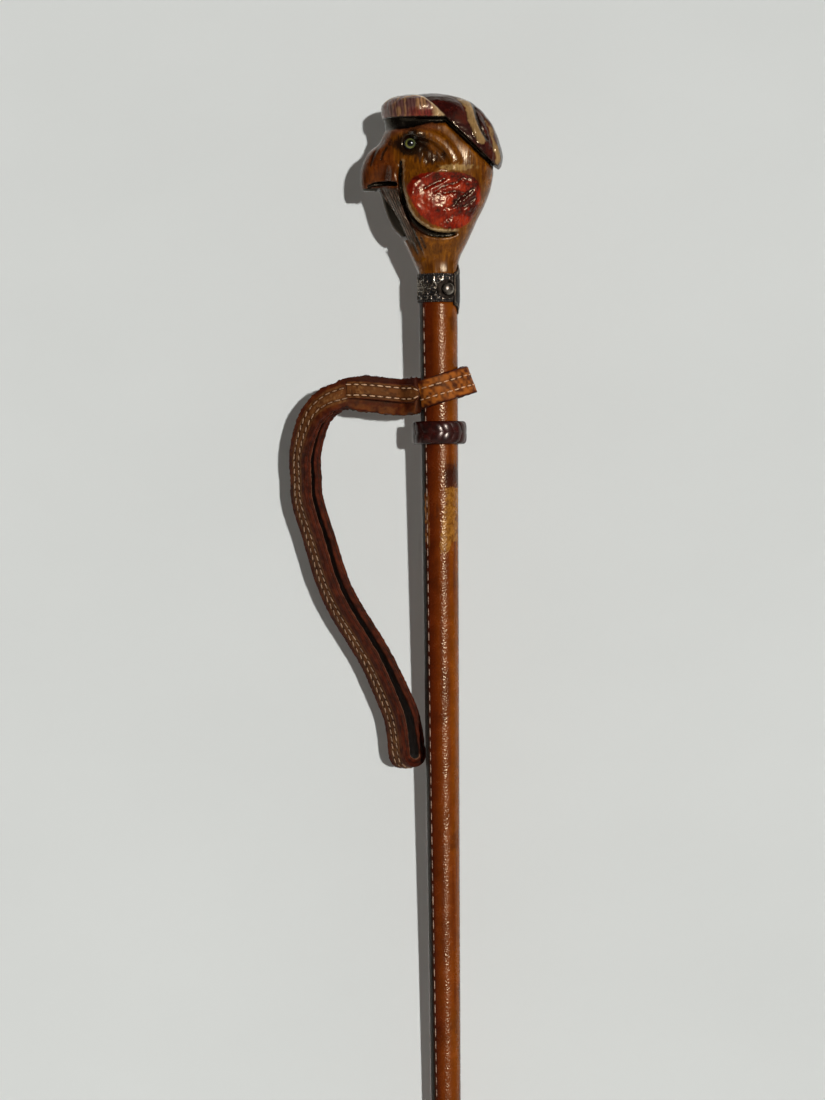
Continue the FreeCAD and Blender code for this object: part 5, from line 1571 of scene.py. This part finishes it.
# Stage: a pale sheet behind the cane, clear of the swinging strap, and a pale floor under its tip. A key lamp
# from the right and three soft fills light the cane. A straighter lamp lights sheet and floor alone, so that
# the shadow still falls close
stage = {
    "sheet": [(-200.0, 22.4), (0.0, 22.4), (200.0, 27.2), (431.0, 32.6), (620.0, 49.6), (800.0, 66.0),
              (850.0, 70.0), (950.0, 77.5), (1500.0, 115.6)],    # height, and how far behind
    "sheetHalf": 700.0, "sheetSteps": 60, "sheetColors": ("#d3d5d2", "#d6d8d5"),
    "floorHalf": 3000.0, "floorColor": "#dcdddb", "floorGlow": 0.42,
    # degrees round from the viewer's side towards +X, degrees up, power, apparent size in degrees
    "lamps": {"key": (22.0, 9.0, 2.65, 3.0), "shade": (7.1, 1.0, 2.5, 0.88),
              "fillLeft": (-128.0, 30.0, 0.35, 25.0), "fillBack": (178.0, 30.0, 1.7, 30.0),
              "fillRight": (55.0, 25.0, 0.12, 60.0)},
    "backdropFor": {"key": "EXCLUDE", "shade": "INCLUDE"},
    "world": 0.055, "worldSeen": 0.75, "worldShine": 0.06,
    "view": (-12.9, 679.8),  # middle of the photograph on the cane's plane
    "viewHeight": 506.0, "viewFar": 2600.0, "viewRoll": 0.54,
    "sensor": 24.0,  # of the long side, which is upright here
    "farthest": 50.0,  # in metres
}


def cardMaterial():  # matt card: no sheen, even colour, clear from behind and to shadows
    material, tree, shader, _ = newMaterial("paleCard")
    shader.inputs["Roughness"].default_value = 0.9
    grain = addNode(tree, "ShaderNodeTexNoise", {"Scale": 9.0, "Detail": 3.0})
    low, high = stage["sheetColors"]
    addNode(tree, "ShaderNodeValToRGB", {0: grain}, [(0.3, low), (0.7, high)],
            feeds=shader.inputs["Base Color"])
    path = addNode(tree, "ShaderNodeLightPath")
    back = addNode(tree, "ShaderNodeNewGeometry")
    clear = addNode(tree, "ShaderNodeMath", {0: back.outputs["Backfacing"], 1: path.outputs["Is Shadow Ray"]},
                    operation="MAXIMUM")
    air = addNode(tree, "ShaderNodeBsdfTransparent")
    addNode(tree, "ShaderNodeMixShader", {0: clear, 1: shader, 2: air},
            feeds=tree.nodes["Material Output"].inputs[0])
    return material


def floorMaterial():  # pale to the camera, but it lights nothing
    material, tree, shader, _ = newMaterial("paleFloor")
    shader.inputs["Roughness"].default_value = 0.85
    for label in ("Base Color", "Emission Color"):
        shader.inputs[label].default_value = hexColor(stage["floorColor"])
    path = addNode(tree, "ShaderNodeLightPath")
    addNode(tree, "ShaderNodeMath", {0: path.outputs["Is Camera Ray"], 1: stage["floorGlow"]},
            operation="MULTIPLY", feeds=shader.inputs["Emission Strength"])
    return material


def buildBackdrop():
    heights = np.linspace(stage["sheet"][0][0], stage["sheet"][-1][0], stage["sheetSteps"])
    half = stage["sheetHalf"]
    points, faces = [], []
    for i, (z, y) in enumerate(zip(heights, tableCurve(stage["sheet"], heights))):
        points += [(-half, y, z), (half, y, z)]
        if i:
            faces.append((2 * i - 2, 2 * i - 1, 2 * i + 1, 2 * i))
    sheet = newMesh("backSheet", points, faces, cardMaterial())
    far = stage["floorHalf"]
    floor = newMesh("floor", [(-far, -far, 0), (far, -far, 0), (far, far, 0), (-far, far, 0)], [(0, 1, 2, 3)],
                    floorMaterial())
    return sheet, floor


def buildLamps(backdrop):
    for name, (turn, rise, power, size) in stage["lamps"].items():
        lamp = bpy.data.objects.new(name, bpy.data.lights.new(name, "SUN"))
        lamp.data.energy = power
        lamp.data.angle = math.radians(size)
        turn, rise = math.radians(turn), math.radians(rise)
        aim = Vector((math.sin(turn) * math.cos(rise), -math.cos(turn) * math.cos(rise), math.sin(rise)))
        lamp.rotation_euler = aim.to_track_quat("Z", "Y").to_euler()
        bpy.context.scene.collection.objects.link(lamp)
        state = stage["backdropFor"].get(name)
        if state:  # this lamp leaves the backdrop out, or lights nothing else
            lit = bpy.data.collections.new("backdrop" + state.title())
            for piece in backdrop:
                lit.objects.link(piece)
            for member in lit.collection_objects:
                member.light_linking.link_state = state
            lamp.light_linking.receiver_collection = lit


def buildWorld():
    world = bpy.data.worlds.new("room")
    world.use_nodes = True
    tree = world.node_tree
    light = tree.nodes["Background"]
    path = addNode(tree, "ShaderNodeLightPath")
    dim = stage["world"]
    shine = addNode(tree, "ShaderNodeMath", {0: path.outputs["Is Glossy Ray"], 1: stage["worldShine"] - dim,
                                             2: dim}, operation="MULTIPLY_ADD")
    addNode(tree, "ShaderNodeMath", {0: path.outputs["Is Camera Ray"], 1: stage["worldSeen"] - dim,
                                     2: shine},
            operation="MULTIPLY_ADD", feeds=light.inputs["Strength"])
    tint = addNode(tree, "ShaderNodeMix", {0: path.outputs["Is Camera Ray"], 6: (1.0, 0.92, 0.82, 1.0),
                                           7: (0.97, 0.98, 1.0, 1.0)}, data_type="RGBA")
    tree.links.new(tint.outputs[2], light.inputs["Color"])
    bpy.context.scene.world = world


def buildCamera():
    lens = bpy.data.cameras.new("camera")
    camera = bpy.data.objects.new("camera", lens)
    bpy.context.scene.collection.objects.link(camera)
    x, z = stage["view"]
    camera.location = (x * mm, -stage["viewFar"] * mm, z * mm)
    camera.rotation_euler = (Matrix.Rotation(math.radians(90), 3, "X")
                             @ Matrix.Rotation(-math.radians(stage["viewRoll"]), 3, "Z")).to_euler()
    lens.sensor_width = stage["sensor"]
    lens.lens = lens.sensor_width * stage["viewFar"] / stage["viewHeight"]
    lens.clip_end = stage["farthest"]
    bpy.context.scene.camera = camera
    bpy.context.scene.view_settings.view_transform = "Standard"


buildLamps(buildBackdrop())
buildWorld()
buildCamera()
print("stage and camera done")
